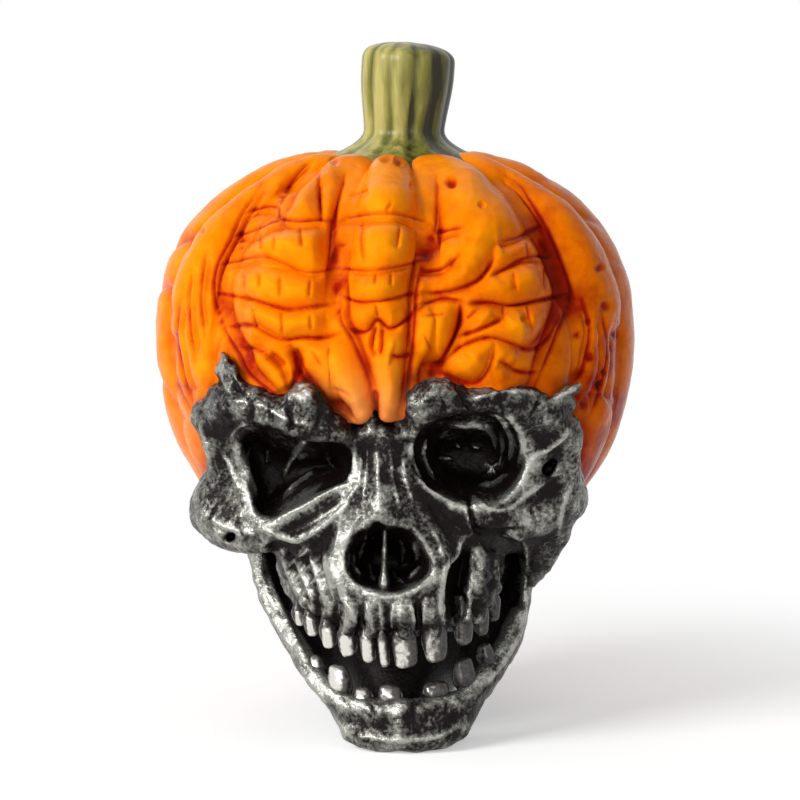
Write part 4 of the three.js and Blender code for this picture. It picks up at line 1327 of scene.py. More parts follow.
    def skin(self) -> Surface:
        """Sets out the plain lobed skin.

        Returns:
            The skin, with more columns in front than behind.
        """
        half = self.front_half
        front = np.linspace(-half, half, self.front_columns, endpoint=False)
        back = np.linspace(half, 360.0 - half, self.back_columns, endpoint=False)
        azimuth = np.concatenate([front, back])[None, :]
        low = np.linspace(-self.last_latitude, self.low_latitude, self.low_rows, endpoint=False)
        high = np.linspace(self.low_latitude, self.last_latitude, self.high_rows)
        latitude = np.concatenate([low, high])[:, None]
        out = np.cos(np.radians(latitude)) ** (2 / self.squareness)
        sine = np.sin(np.radians(latitude))
        up = np.sign(sine) * np.abs(sine) ** (2 / self.squareness)
        swell = self.swell * (self.lobe(azimuth) - 0.2) * np.cbrt(out)
        x = (self.half_width * out + swell) * np.sin(np.radians(azimuth))
        y = -(self.half_depth * out + swell) * np.cos(np.radians(azimuth))
        near = 1.0 - ease(0.0, self.dip_radius, np.hypot(x, y))
        crest = swell * np.maximum(0.0, up) * (1.0 - near)
        z = self.equator + np.where(latitude > 0, self.crown, self.belly) * up + crest
        z = z - np.where(latitude > 0, self.dip * near, 0.0)
        return loft([np.stack([x[r], y[r], z[r]], 1) for r in range(len(latitude))])

    def marks(self) -> tuple[Stroke, ...]:
        """Gathers the tool marks on the front.

        Returns:
            The strokes, from the long seams down to the nicks.
        """
        strokes = [Stroke(line, *self.seam_size, sharp=0, taper=0.6) for line in self.seam_lines]
        strokes += [Stroke(line, *self.fold_size, sharp=0, taper=0.5) for line in self.fold_lines]
        strokes += [Stroke(line, *self.nick_size, sharp=0) for line in self.nick_lines]
        strokes += [Stroke(line, *self.drape_size, sharp=0) for line in self.drape_lines]
        strokes += [Stroke(line, *self.gap_size, sharp=1.2) for line in self.gap_lines]
        return tuple(strokes)

    def cuts(self) -> tuple[Stroke, ...]:
        """Gathers the fine knife lines.

        Returns:
            A stroke at the bottom of each seam, fold and nick.
        """
        lines = self.seam_lines + self.fold_lines + self.drape_lines
        strokes = [Stroke(line, *self.knife_size, sharp=1.4) for line in lines]
        strokes += [Stroke(line, *self.fine_knife_size, sharp=1.4) for line in self.nick_lines]
        return tuple(strokes)

    def tuck(self, skin: Surface, mask: Slab) -> None:
        """Rolls the skin in behind the bone round the face, and lifts its underside to the rim.

        Args:
            skin: the folded skin.
            mask: the face of the skull, whose outline is the edge of the skin.
        """
        inside = -VIEW.rim(skin.points, mask.edge())
        deep = inside - self.edge_lap + self.tip_rise * mask_middle(skin.points[:, 0])
        deep = np.where(skin.points[:, 1] < self.face_behind, np.maximum(deep, 0.0), 0.0)
        roll = self.edge_roll
        inset = roll - np.sqrt(np.maximum(roll * roll - np.minimum(deep, roll) ** 2, 0.0))
        inset = inset + np.maximum(0.0, deep - roll) * self.edge_pull
        axis = np.array([0.0, 0.0, self.equator - self.edge_aim])
        inward = axis - skin.points
        inward /= np.linalg.norm(inward, axis=1)[:, None]
        skin.points = skin.points + inward * np.minimum(inset, self.edge_depth)[:, None]
        rim = self.rim_height - self.rim_slope * (skin.points[:, 1] - self.rim_depth)
        skin.points[:, 2] = np.maximum(skin.points[:, 2], rim)

    def beside(self, points: np.ndarray, mask: Slab) -> np.ndarray:
        """How close places on the front lie to the torn edge of the bone, from 0 to 1 at the edge."""
        away = VIEW.rim(points, mask.edge())
        return np.where(points[:, 1] < self.face_behind, ease(4.2, 0.4, away), 0.0)

    def slices(self, skin: Surface) -> dict[str, Surface]:
        """Cuts the skin into slices that meet in the seams, each closed at the middle axis.

        Args:
            skin: the finished skin.

        Returns:
            The slices by name.
        """
        columns = self.front_columns + self.back_columns
        rows = self.low_rows + self.high_rows
        normals = skin.normals()
        step = 2 * self.front_half / self.front_columns
        seams = [round((seam + self.front_half) / step) for seam in self.seams[:2]]
        cuts = [0] + seams + [self.front_columns, columns]
        lowest = self.equator - self.belly + self.core_rise
        result = {}
        for name, first, last in zip(self.slice_names, cuts[:-1], cuts[1:]):
            chosen = np.arange(first, last + 1) % columns
            index = np.arange(rows)[:, None] * columns + chosen
            height = np.maximum(skin.points[index][:, :, 2].mean(1), lowest)
            middle = np.zeros((rows, 3))
            middle[:, 2] = height + self.core_step * np.arange(rows)
            part = loft([np.vstack([skin.points[index[r]], middle[r : r + 1]]) for r in range(rows)])
            for key, values in skin.marks.items():
                marked = np.hstack([values[index], np.zeros((rows, 1))]).ravel()
                part.marks[key] = np.concatenate([marked, np.zeros(2)])
            smooth = np.tile(np.array([0.0, 0.0, 1.0]), (rows, len(chosen) + 1, 1))
            smooth[:, :-1] = normals[index]
            part.smooth = np.vstack([smooth.reshape(-1, 3), smooth[:2, -1]])
            result[name] = part
        return result

    def back_folds(self, skin: Surface) -> np.ndarray:
        """Works out soft creases round the sides and back, where no line is drawn.

        Args:
            skin: the skin with its drawn folds.

        Returns:
            The depth of the creases at each point.
        """
        x, y, z = skin.points.T
        azimuth = np.degrees(np.arctan2(x, -y))
        side = ease(48.0, 66.0, np.abs(azimuth))
        wander = 6.0 * grain(skin.points * np.array([1, 1, 0.6]), 22.0, 3.1)
        height = (z + wander) / 11.0 + 0.4 * np.sin(np.radians(azimuth * 5.0))
        ridge = (1.0 - np.abs(np.sin(np.pi * height))) ** 2.2
        gate = ease(-0.15, 0.35, grain(skin.points, 16.0, 8.4))
        upper = ease(62.0, 74.0, z) * ease(118.0, 106.0, z)
        return side * ridge * gate * upper * 1.3

    def fold(self, skin: Surface) -> np.ndarray:
        """Cuts the folds, nicks and pits into the plain skin.

        Args:
            skin: the plain lobed skin.

        Returns:
            The depth of the soft creases of the sides and back at each point.
        """
        outward = skin.averaged(skin.normals(), 6)
        plain = replace(self, swell=0.0).skin().normals()
        fingers = tuple(Stroke(line, *self.finger_size, sharp=0) for line in self.finger_lines)
        skin.carve(fingers, "bulge", outward, plain)
        skin.carve(self.marks(), "crease", outward, plain)
        soft = self.back_folds(skin)
        skin.points = skin.points - outward * soft[:, None]
        skin.carve(self.cuts(), "cut", outward, plain)
        skin.dent(self.pits, "pit")
        skin.roughen(6.0, 0.3, 1.0)
        skin.roughen(1.6, 0.07, 2.0)
        return soft

    def washed(
        self, marks: dict[str, np.ndarray], soft: np.ndarray, base: np.ndarray, mask: Slab
    ) -> np.ndarray:
        """Works out where the crimson wash has gathered, with painted shade on the right side, and darker
        next to the torn edge of the bone and towards the bottom.

        Args:
            marks: how deep each kind of mark runs.
            soft: how deep the soft creases run.
            base: the points of the plain skin.
            mask: the face of the skull, which the torn edge follows.

        Returns:
            A share from 0, clean orange, to 1, dark crimson.
        """
        x, y, z = base.T
        azimuth = np.degrees(np.arctan2(x, -y))
        seam = (1.0 - self.lobe(azimuth)) ** 2.0 * ease(50.0, 58.0, np.abs(azimuth))
        flank = ease(0.3, 1.8, marks["crease"]) * 0.12 + ease(1.8, 4.2, marks["crease"]) * 0.4
        sunk = flank + marks["cut"] * 0.8 + marks["pit"] * 0.45 + soft * 0.3 + seam * 0.25
        low = ease(78.0, 52.0, z)
        # Painted shade: darker on the right, away from the light
        turned = ease(8.0, 46.0, x)
        crest = ease(0.2, 1.6, -marks["bulge"])
        edge = self.beside(base, mask) * (0.7 + 0.5 * grain(base, 4.0, 12.0))
        stain = ease(0.05, 0.5, grain(base, 8.0, 14.0)) * ease(24.0, 42.0, x) * ease(100.0, 84.0, z)
        level = 0.06 + 0.1 * low + 0.19 * turned - 0.06 * crest + 0.34 * edge + 0.22 * stain
        return np.clip(sunk + level, 0.0, 1.0)

    def blushed(self, crease: np.ndarray, base: np.ndarray) -> np.ndarray:
        """Works out where peach is brushed over the tips of the folds.

        Args:
            crease: how deep the folds run.
            base: the points of the plain skin.

        Returns:
            A share from 0 to 1, all peach.
        """
        picture = VIEW.picture(base)
        around = np.zeros(len(base))
        for x, y, across, down, strength in self.blush_spots:
            away = ((picture[:, 0] - x) / across) ** 2 + ((picture[:, 1] - y) / down) ** 2
            around = np.maximum(around, strength * np.exp(-away))
        front = (base[:, 1] < 0) * (1.0 - 0.85 * ease(1.6, 3.8, crease))
        return np.clip(around * front, 0.0, 1.0)

    def build(self, mask: Slab) -> list[bpy.types.Object]:
        """Makes the pumpkin with its folds and paint.

        Args:
            mask: the face of the skull, which the torn edge follows.

        Returns:
            The slices of the pumpkin.
        """
        skin = self.skin()
        base = skin.points.copy()
        soft = self.fold(skin)
        wash = self.washed(skin.marks, soft, base, mask)
        skin.marks = {"wash": wash, "blush": self.blushed(skin.marks["crease"], base)}
        self.tuck(skin, mask)
        paint = PumpkinPaint().material()
        pieces = [part.make(name, paint) for name, part in self.slices(skin).items()]
        return [stand_in(piece, "pumpkin_shell") for piece in pieces]


@dataclass
class Stem:
    """The fluted stem, swept up a leaning path with root flares over the crown."""

    foot: float = 114.5
    height: float = 28.4
    waist: float = 8.3
    top: float = 9.7
    flare: float = 22.0
    lean: float = 1.6
    offset: float = 1.2
    flutes: int = 12
    flute_depth: float = 0.38
    around: int = 180
    along: int = 110
    weld: float = 0.00001
    # What the nodes work out at each point: the result, the step, and what it takes. X and Y are the
    # places on the flat grid, round the stem and up it. LINEAR and SMOOTHSTEP carry a range to another,
    # and 1D is noise along a line.
    steps: tuple[tuple[str | float, ...], ...] = (
        ("turn", "ADD", "X", 0.5),
        ("angle", "MULTIPLY", "turn", 2 * math.pi),
        ("cosine", "COSINE", "angle"),
        ("sine", "SINE", "angle"),
        ("share", "ADD", "Y", 0.5),
        ("rise", "LINEAR", "share", 0.03, 0.9, 0.0, 1.0),
        ("closing", "LINEAR", "share", 0.0, 0.03, 0.0, 1.0),
        # The rounded top
        ("near top", "LINEAR", "share", 0.84, 1.0, 0.0, 1.0),
        ("rounding", "POWER", "near top", 3.2),
        ("rounded", "SUBTRACT", 1.0, "rounding"),
        ("shoulder", "SQRT", "rounded"),
        # The radius, from the flared roots over the waist to the top
        ("above roots", "SMOOTHSTEP", "rise", 0.0, 0.42, 0.0, 1.0),
        ("below", "SUBTRACT", 1.0, "above roots"),
        ("spread", "POWER", "below", 1.4),
        ("flare over waist", "SUBTRACT", "Flare Radius", "Waist Radius"),
        ("top over waist", "SUBTRACT", "Top Radius", "Waist Radius"),
        ("upper", "SMOOTHSTEP", "rise", 0.3, 0.85, 0.0, 1.0),
        ("flared", "MULTIPLY_ADD", "flare over waist", "spread", "Waist Radius"),
        ("radius", "MULTIPLY_ADD", "top over waist", "upper", "flared"),
        # The flutes, unevenly spaced and deeper at the roots
        ("round", "MULTIPLY", "sine", 1.3),
        ("uneven", "1D", "round", 1.6),
        ("shift", "MULTIPLY", "uneven", 3.0),
        ("phase", "MULTIPLY_ADD", "angle", "Flutes", "shift"),
        ("wave", "COSINE", "phase"),
        ("half wave", "MULTIPLY_ADD", "wave", 0.5, 0.5),
        ("whole", "ABSOLUTE", "half wave"),
        ("fat wave", "POWER", "whole", 0.6),
        ("rib", "SUBTRACT", "fat wave", 0.6),
        ("root", "MULTIPLY_ADD", "spread", 2.6, 1.0),
        ("ribbed", "MULTIPLY", "rib", "Flute Depth"),
        ("outer", "MULTIPLY_ADD", "ribbed", "root", "radius"),
        ("capped", "MULTIPLY", "outer", "shoulder"),
        ("full", "MULTIPLY", "capped", "closing"),
        # The place in millimetres, leaning and with a slanted top
        ("middle", "MULTIPLY_ADD", "Lean", "rise", "Offset"),
        ("x", "MULTIPLY_ADD", "full", "cosine", "middle"),
        ("y", "MULTIPLY", "full", "sine"),
        ("late rise", "POWER", "rise", 3.0),
        ("slope", "MULTIPLY", "late rise", -0.07),
        ("across", "MULTIPLY", "cosine", "full"),
        ("lift", "LINEAR", "share", 0.03, 1.0, 0.0, 1.0),
        ("level", "MULTIPLY_ADD", "lift", "Height", "Foot Height"),
        ("z", "MULTIPLY_ADD", "across", "slope", "level"),
        # The wash in the flutes and at the roots, with painted light on the side towards the light and
        # painted shade on the side away from it
        ("hollow", "LINEAR", "rib", 0.15, -0.6, 0.0, 0.34),
        ("pooled", "LINEAR", "cosine", -0.5, 0.9, -0.12, 0.4),
        ("stained", "ADD", "hollow", "pooled"),
        ("wash", "MULTIPLY_ADD", "spread", 0.12, "stained"),
    )

    def sizes(self) -> dict[str, float]:
        """The named inputs of the nodes, lengths in millimetres."""
        return {
            "Height": self.height,
            "Waist Radius": self.waist,
            "Top Radius": self.top,
            "Flare Radius": self.flare,
            "Flute Depth": self.flute_depth,
            "Flutes": float(self.flutes),
            "Lean": self.lean,
            "Offset": self.offset,
            "Foot Height": self.foot,
        }

    def tree(self, material: bpy.types.Material) -> bpy.types.GeometryNodeTree:
        """Builds the nodes that roll a flat grid into the fluted stem.

        Args:
            material: the finish that the result takes.

        Returns:
            The node tree, with its sizes as named inputs.
        """
        tree = bpy.data.node_groups.new("fluted_stem", "GeometryNodeTree")
        for name in self.sizes():
            tree.interface.new_socket(name, in_out="INPUT", socket_type="NodeSocketFloat")
        tree.interface.new_socket("Geometry", in_out="OUTPUT", socket_type="NodeSocketGeometry")
        given = add_node(tree, "NodeGroupInput", {}).outputs
        flat = {"Size X": 1.0, "Size Y": 1.0, "Vertices X": self.around + 1, "Vertices Y": self.along}
        grid = add_node(tree, "GeometryNodeMeshGrid", flat).outputs[0]
        position = add_node(tree, "GeometryNodeInputPosition", {}).outputs[0]
        place = add_node(tree, "ShaderNodeSeparateXYZ", {0: position}).outputs
        made = {"X": place[0], "Y": place[1]} | {name: given[name] for name in self.sizes()}
        # Each kind of step has its node, the setting that names the step, and its first input
        kinds = {
            "LINEAR": ("ShaderNodeMapRange", "interpolation_type", 0),
            "SMOOTHSTEP": ("ShaderNodeMapRange", "interpolation_type", 0),
            "1D": ("ShaderNodeTexNoise", "noise_dimensions", 1),
        }
        for name, step, *values in self.steps:
            kind, setting, first = kinds.get(step, ("ShaderNodeMath", "operation", 0))
            inputs = {first + i: made.get(value, value) for i, value in enumerate(values)}
            made[name] = add_node(tree, kind, inputs, **{setting: step}).outputs[0]
        at = add_node(tree, "ShaderNodeCombineXYZ", {0: made["x"], 1: made["y"], 2: made["z"]}).outputs[0]
        metres = add_node(tree, "ShaderNodeVectorMath", {0: at, 3: METRE}, operation="SCALE").outputs[0]
        wash = {"Geometry": grid, "Name": "wash", "Value": made["wash"]}
        marked = add_node(tree, "GeometryNodeStoreNamedAttribute", wash, domain="POINT", data_type="FLOAT")
        rolling = {"Geometry": marked.outputs[0], "Position": metres}
        rolled = add_node(tree, "GeometryNodeSetPosition", rolling)
        welding = {"Geometry": rolled.outputs[0], "Distance": self.weld}
        closed = add_node(tree, "GeometryNodeMergeByDistance", welding)
        smooth = add_node(tree, "GeometryNodeSetShadeSmooth", {"Geometry": closed.outputs[0]})
        real = add_node(tree, "GeometryNodeRealizeInstances", {"Geometry": smooth.outputs[0]})
        finish = {"Geometry": real.outputs[0], "Material": material}
        painted = add_node(tree, "GeometryNodeSetMaterial", finish)
        add_node(tree, "NodeGroupOutput", {0: painted.outputs[0]})
        return tree

    def build(self) -> bpy.types.Object:
        """Makes the stem and turns it into a plain mesh with its faces pointing out.

        Returns:
            The finished stem.
        """
        tree = self.tree(StemPaint().material())
        carrier = bpy.data.objects.new("stem_nodes", bpy.data.meshes.new("stem_nodes"))
        bpy.context.scene.collection.objects.link(carrier)
        modifier = carrier.modifiers.new("fluted_stem", "NODES")
        modifier.node_group = tree
        for socket in tree.interface.items_tree:
            if socket.in_out == "INPUT":
                modifier[socket.identifier] = self.sizes()[socket.name]
        graph = bpy.context.evaluated_depsgraph_get()
        mesh = bpy.data.meshes.new_from_object(carrier.evaluated_get(graph))
        bpy.data.objects.remove(carrier)
        middle = Vector((self.offset, 0, self.foot + self.height / 2)) * METRE
        if sum(face.normal.dot(face.center - middle) * face.area for face in mesh.polygons) < 0:
            mesh.flip_normals()
        mesh.name = "fluted_stem"
        piece = bpy.data.objects.new("fluted_stem", mesh)
        bpy.context.scene.collection.objects.link(piece)
        return stand_in(piece, "stem")


@dataclass
class Skull:
    """The face of the skull, modelled in clay from slabs, rolls and hollows, on the keel it stands on."""

    # The block of clay for the face, what is kept of it, and how far its shading reaches
    low: Place = (-46.0, -52.0, 17.0)
    high: Place = (46.0, -7.0, 90.0)
    pitch: float = 0.4
    face_depths: Pair = (-60.0, -9.0)
    fine_reach: float = 1.2
    broad_reach: float = 4.5
    # The same for the keel
    keel_low: Place = (-40.0, -32.0, -1.0)
    keel_high: Place = (40.0, 38.0, 52.0)
    keel_pitch: float = 1.0
    keel_heights: Pair = (0.0, 50.0)
    keel_depths: Pair = (-28.6, 40.0)
    keel_reach: float = 4.0
    # How the torn edge laps onto the pumpkin, above the eyes
    lap: float = 1.6
    lap_height: float = 64.0
    middle_drop: float = 3.0
    # How far roots stand out, gums sink in and holes reach
    root_rise: float = 0.1
    gum_sink: float = 1.0
    hole_reach: Pair = (-2.0, 6.0)
    # Where the unseen back may be thinned out, and to how many triangles
    thin_behind: float = -24.0
    most_triangles: int = 190_000
    # Width and height of the strands and ties of the upper jaw, where a negative depth stands out
    strand_size: Pair = (1.5, -1.3)
    tie_size: Pair = (1.1, -1.2)
    # Directions of painted light on the pewter: first towards the key light on the left, then towards the
    # right, which lightens the right cheek
    brush: Place = (-0.72, -0.5, 0.48)
    painted_light_right: Place = (0.7, -0.66, 0.28)
    # The pewter that lies everywhere
    dust: float = 0.03
    # The mask of the face: torn brow, eye rims, cheeks, and the upper jaw down to the teeth
    mask: Slab = Slab(
        outline=(
            (195, 410), (204, 440), (210, 467), (198, 492), (204, 522), (218, 543), (246, 552), (274, 553),
            (279, 575), (289, 596), (302, 612), (325, 626), (350, 634), (388, 638), (425, 636), (452, 631),
            (477, 619), (495, 598), (502, 575), (506, 556), (520, 553), (526, 573), (531, 589), (545, 575),
            (560, 550), (563, 522), (577, 497), (581, 472), (576, 450), (581, 436), (577, 421), (570, 410),
            (584, 381), (560, 391), (547, 400), (536, 391), (515, 388), (492, 391), (468, 398), (455, 386),
            (436, 381), (415, 391), (408, 402), (403, 412), (396, 420), (388, 424), (380, 421), (374, 410),
            (369, 419), (361, 426), (351, 424), (341, 417), (328, 409), (320, 402), (312, 390), (300, 387),
            (289, 395), (284, 407), (268, 400), (254, 390), (238, 370), (224, 350), (219, 362), (216, 380),
            (207, 394),
        ),
        depths=(
            (210, 410, -33), (255, 408, -42.5), (300, 415, -46.5), (335, 431, -46), (375, 440, -44.4),
            (430, 408, -47), (480, 404, -46), (530, 408, -42), (566, 432, -35), (206, 450, -31.5),
            (214, 480, -31), (212, 508, -31), (240, 530, -36), (275, 535, -40), (310, 518, -42.6),
            (346, 490, -44), (240, 470, -35), (290, 470, -39), (360, 460, -43), (380, 455, -45.2),
            (383, 490, -47.4), (385, 514, -48.8), (404, 470, -43.4), (346, 535, -45.4), (430, 540, -45.2),
            (341, 572, -45.6), (440, 572, -45.2), (388, 602, -48), (318, 560, -41), (299, 580, -37),
            (283, 570, -32.5), (328, 602, -42.6), (350, 622, -44), (388, 627, -46.6), (432, 622, -45.2),
            (466, 602, -42), (490, 575, -37), (503, 562, -32.5), (440, 510, -43.2), (470, 510, -42.6),
            (500, 515, -40), (530, 515, -36.4), (562, 500, -31), (547, 545, -28.5), (531, 577, -24),
            (560, 460, -34), (500, 460, -40), (450, 460, -42),
        ),
        rounding=4.2,
        thickness=90.0,
        lean=0.45,
        ragged=0.45,
        torn=1.2,
    )
    # Rows are picture x and y, depth along Y and radius in millimetres
    rolls: Lines = (
        (
            (208, 416, -29, 3.4), (230, 407, -35.4, 3.8), (256, 406, -39.6, 3.8), (284, 418, -43, 3.6),
            (308, 428, -44.6, 3.6), (334, 434, -44.4, 3.0),
        ),
        ((295, 409, -44.2, 3.0), (305, 400, -45.2, 3.2), (316, 410, -45.2, 2.8)),
        ((420, 403, -45.6, 3.2), (436, 395, -46.2, 3.2), (450, 402, -45.4, 3.0)),
        (
            (418, 420, -43.4, 3.0), (450, 410, -44.6, 3.0), (480, 403, -43.8, 3.0), (515, 404, -41, 3.0),
            (545, 416, -37, 3.4), (564, 434, -32.4, 3.6),
        ),
        (
            (212, 418, -29.4, 3.0), (218, 445, -29.4, 3.0), (223, 470, -28.6, 3.0), (217, 497, -27, 4.2),
            (224, 520, -27.6, 4.2),
        ),
        ((564, 436, -31, 3.4), (563, 458, -30.4, 3.6), (560, 478, -29.2, 4.2), (560, 498, -27.6, 4.2)),
        ((216, 502, -26.6, 4.4), (226, 522, -29, 5.0), (247, 533, -33, 4.2), (273, 536, -37, 3.2)),
        (
            (560, 494, -28, 4.4), (545, 508, -31, 4.8), (520, 519, -34.6, 4.4), (497, 519, -37.6, 3.4),
            (478, 512, -39.8, 2.4),
        ),
        ((554, 514, -26.6, 4.4), (548, 538, -24, 4.0), (538, 560, -21.4, 3.4)),
        ((214, 512, -24, 5.0), (222, 518, -14, 5.0), (228, 518, -6, 4.0)),
        ((564, 498, -24, 5.0), (558, 503, -14, 5.0), (554, 503, -6, 4.0)),
        ((362, 479, -42.6, 1.6), (330, 493, -42, 1.7), (302, 510, -40.4, 1.8), (274, 526, -38.2, 2.0)),
        (
            (352, 499, -43.2, 1.5), (330, 517, -42.6, 1.6), (315, 532, -41.6, 1.6), (297, 541, -40, 1.8),
            (276, 540, -38, 1.9),
        ),
        (
            (357, 470, -41.6, 2.2), (352, 497, -42.6, 2.4), (345, 526, -43.6, 2.3), (341, 552, -44, 2.2),
            (345, 577, -44.8, 2.0), (365, 594, -46, 2.0), (388, 599, -46.6, 2.0), (414, 595, -46, 2.0),
            (433, 579, -44.8, 2.0), (439, 556, -44, 2.2), (426, 530, -43.6, 2.3), (410, 500, -42.6, 2.4),
            (403, 472, -41.6, 2.2),
        ),
    )
    # The bone behind the eyes, out of sight
    backing: Rows = ((265, 455, -15, 11), (330, 445, -15, 12), (430, 440, -15, 12), (505, 440, -15, 11))
    # The walls of the mouth, in the dark behind the jaw
    walls: Lines = (
        (
            (270, 548, -5, 3.2), (276, 575, -5, 3.4), (286, 600, -6, 3.8), (302, 628, -8, 5.0),
            (322, 655, -10, 6.0),
        ),
        (
            (519, 548, -5, 3.2), (518, 575, -5, 3.4), (511, 600, -6, 4.2), (496, 628, -8, 5.4),
            (478, 655, -10, 6.0),
        ),
    )
    # Roots of the upper teeth and the strands between them
    roots: Lines = (
        ((358, 598, -45.6, 1.0), (354, 608, -46, 1.7), (351, 619, -45, 1.2), (349, 630, -43.6, 1.4)),
        ((374, 600, -46.6, 1.0), (371, 610, -47.4, 1.9), (372, 621, -46.4, 1.3), (371, 632, -45.4, 1.4)),
        ((388, 602, -46.8, 0.8), (387, 612, -47.2, 1.2), (386, 624, -46, 1.0)),
        ((402, 601, -46.8, 1.2), (404, 612, -47.6, 2.2), (404, 623, -46.6, 1.5), (405, 632, -45.6, 1.7)),
        ((429, 596, -45.6, 1.2), (431, 609, -46.4, 2.2), (433, 621, -45.2, 1.5), (434, 630, -44.2, 1.7)),
        (
            (479, 548, -39.6, 1.4), (482, 566, -39.8, 1.6), (479, 586, -39.8, 1.5), (481, 602, -38.8, 1.6),
            (478, 618, -38.2, 1.5),
        ),
        ((491, 556, -36.8, 1.5), (493, 574, -36.2, 1.6), (489, 592, -36, 1.5), (490, 606, -34.6, 1.5)),
    )
    molars: Rows = ((484, 575, -38.4, 1.5), (486, 596, -37.2, 1.7), (494, 587, -35, 1.6))
    # Strands that run down the upper jaw to the left teeth, and the gums that swell over each tooth
    strands: Lines = (
        ((283, 547), (289, 566), (297, 584), (305, 600)),
        ((297, 553), (304, 571), (311, 589), (318, 606)),
        ((311, 551), (318, 570), (324, 590), (331, 611)),
        ((325, 553), (331, 573), (337, 596), (345, 619)),
        ((338, 574), (343, 592), (351, 607), (357, 624)),
    )
    ties: Lines = (
        ((286, 572), (294, 562), (304, 553), (312, 548)), ((293, 586), (302, 575), (313, 564), (322, 556)),
        ((302, 600), (311, 588), (320, 577), (332, 566)), ((316, 606), (324, 594), (332, 582), (340, 572)),
        ((330, 612), (336, 600), (342, 590)),
    )
    gums: Rows = (
        (306, 602, -38.2, 1.4), (317, 607, -40, 1.5), (329, 612, -42, 1.6), (464, 615, -42.2, 1.8),
        (481, 597, -38.4, 1.7),
    )
    left_eye: Rows = (
        (232, 436), (246, 427), (264, 425), (282, 433), (305, 440), (335, 443), (349, 449), (353, 468),
        (342, 483), (318, 493), (298, 504), (277, 519), (256, 519), (245, 502), (239, 480), (232, 458),
    )
    right_eye: Rows = (
        (413, 446), (422, 429), (446, 417), (476, 412), (503, 415), (522, 430), (532, 452), (531, 474),
        (518, 493), (498, 503), (476, 503), (455, 500), (433, 490), (418, 476), (411, 460),
    )
    nose_hole: Rows = (
        (376, 521), (388, 527), (405, 529), (419, 542), (431, 560), (429, 574), (414, 585), (394, 591),
        (374, 589), (356, 581), (347, 567), (348, 549), (357, 534), (367, 529),
    )
    leaf: Rows = (
        (470, 539), (476, 556), (473, 582), (472, 606), (462, 627), (451, 627), (444, 606), (445, 580),
        (453, 555),
    )
    # Each pocket has its rim, the depths where its walls start to lean in and end, their slope and blend
    pockets: tuple[tuple[Rows, float, float, float, float], ...] = (
        (left_eye, -42.0, -26.0, 0.28, 1.0),
        (right_eye, -42.0, -26.0, 0.36, 1.0),
        (nose_hole, -46.0, -31.0, 0.26, 0.8),
        (leaf, -44.0, -35.0, 0.35, 0.7),
    )
    hollows: Lines = (
        ((432, 500, -46, 1.8), (448, 516, -45.4, 2.6), (462, 530, -44.6, 2.0)),
        ((336, 527, -47.4, 1.6), (318, 545, -45, 2.0), (298, 552, -42.4, 2.2), (276, 550, -39.4, 2.0)),
        ((334, 504, -45.8, 1.0), (312, 520, -44.8, 1.2), (290, 532, -42.6, 1.2)),
        ((367, 452, -47.8, 0.9), (366, 485, -49.2, 1.1), (361, 510, -49, 1.2)),
        ((396, 455, -47.8, 0.9), (399, 485, -49.2, 1.1), (408, 512, -48.8, 1.2)),
        ((446, 535, -47.4, 1.6), (441, 545, -47.2, 1.2)),
        ((482, 538, -42.6, 1.8), (505, 545, -38.4, 2.0), (518, 560, -32, 2.4)),
    )
    holes: Rows = ((231, 537, -38, 1.0), (548, 469, -38, 1.2), (553, 463, -37, 0.8))
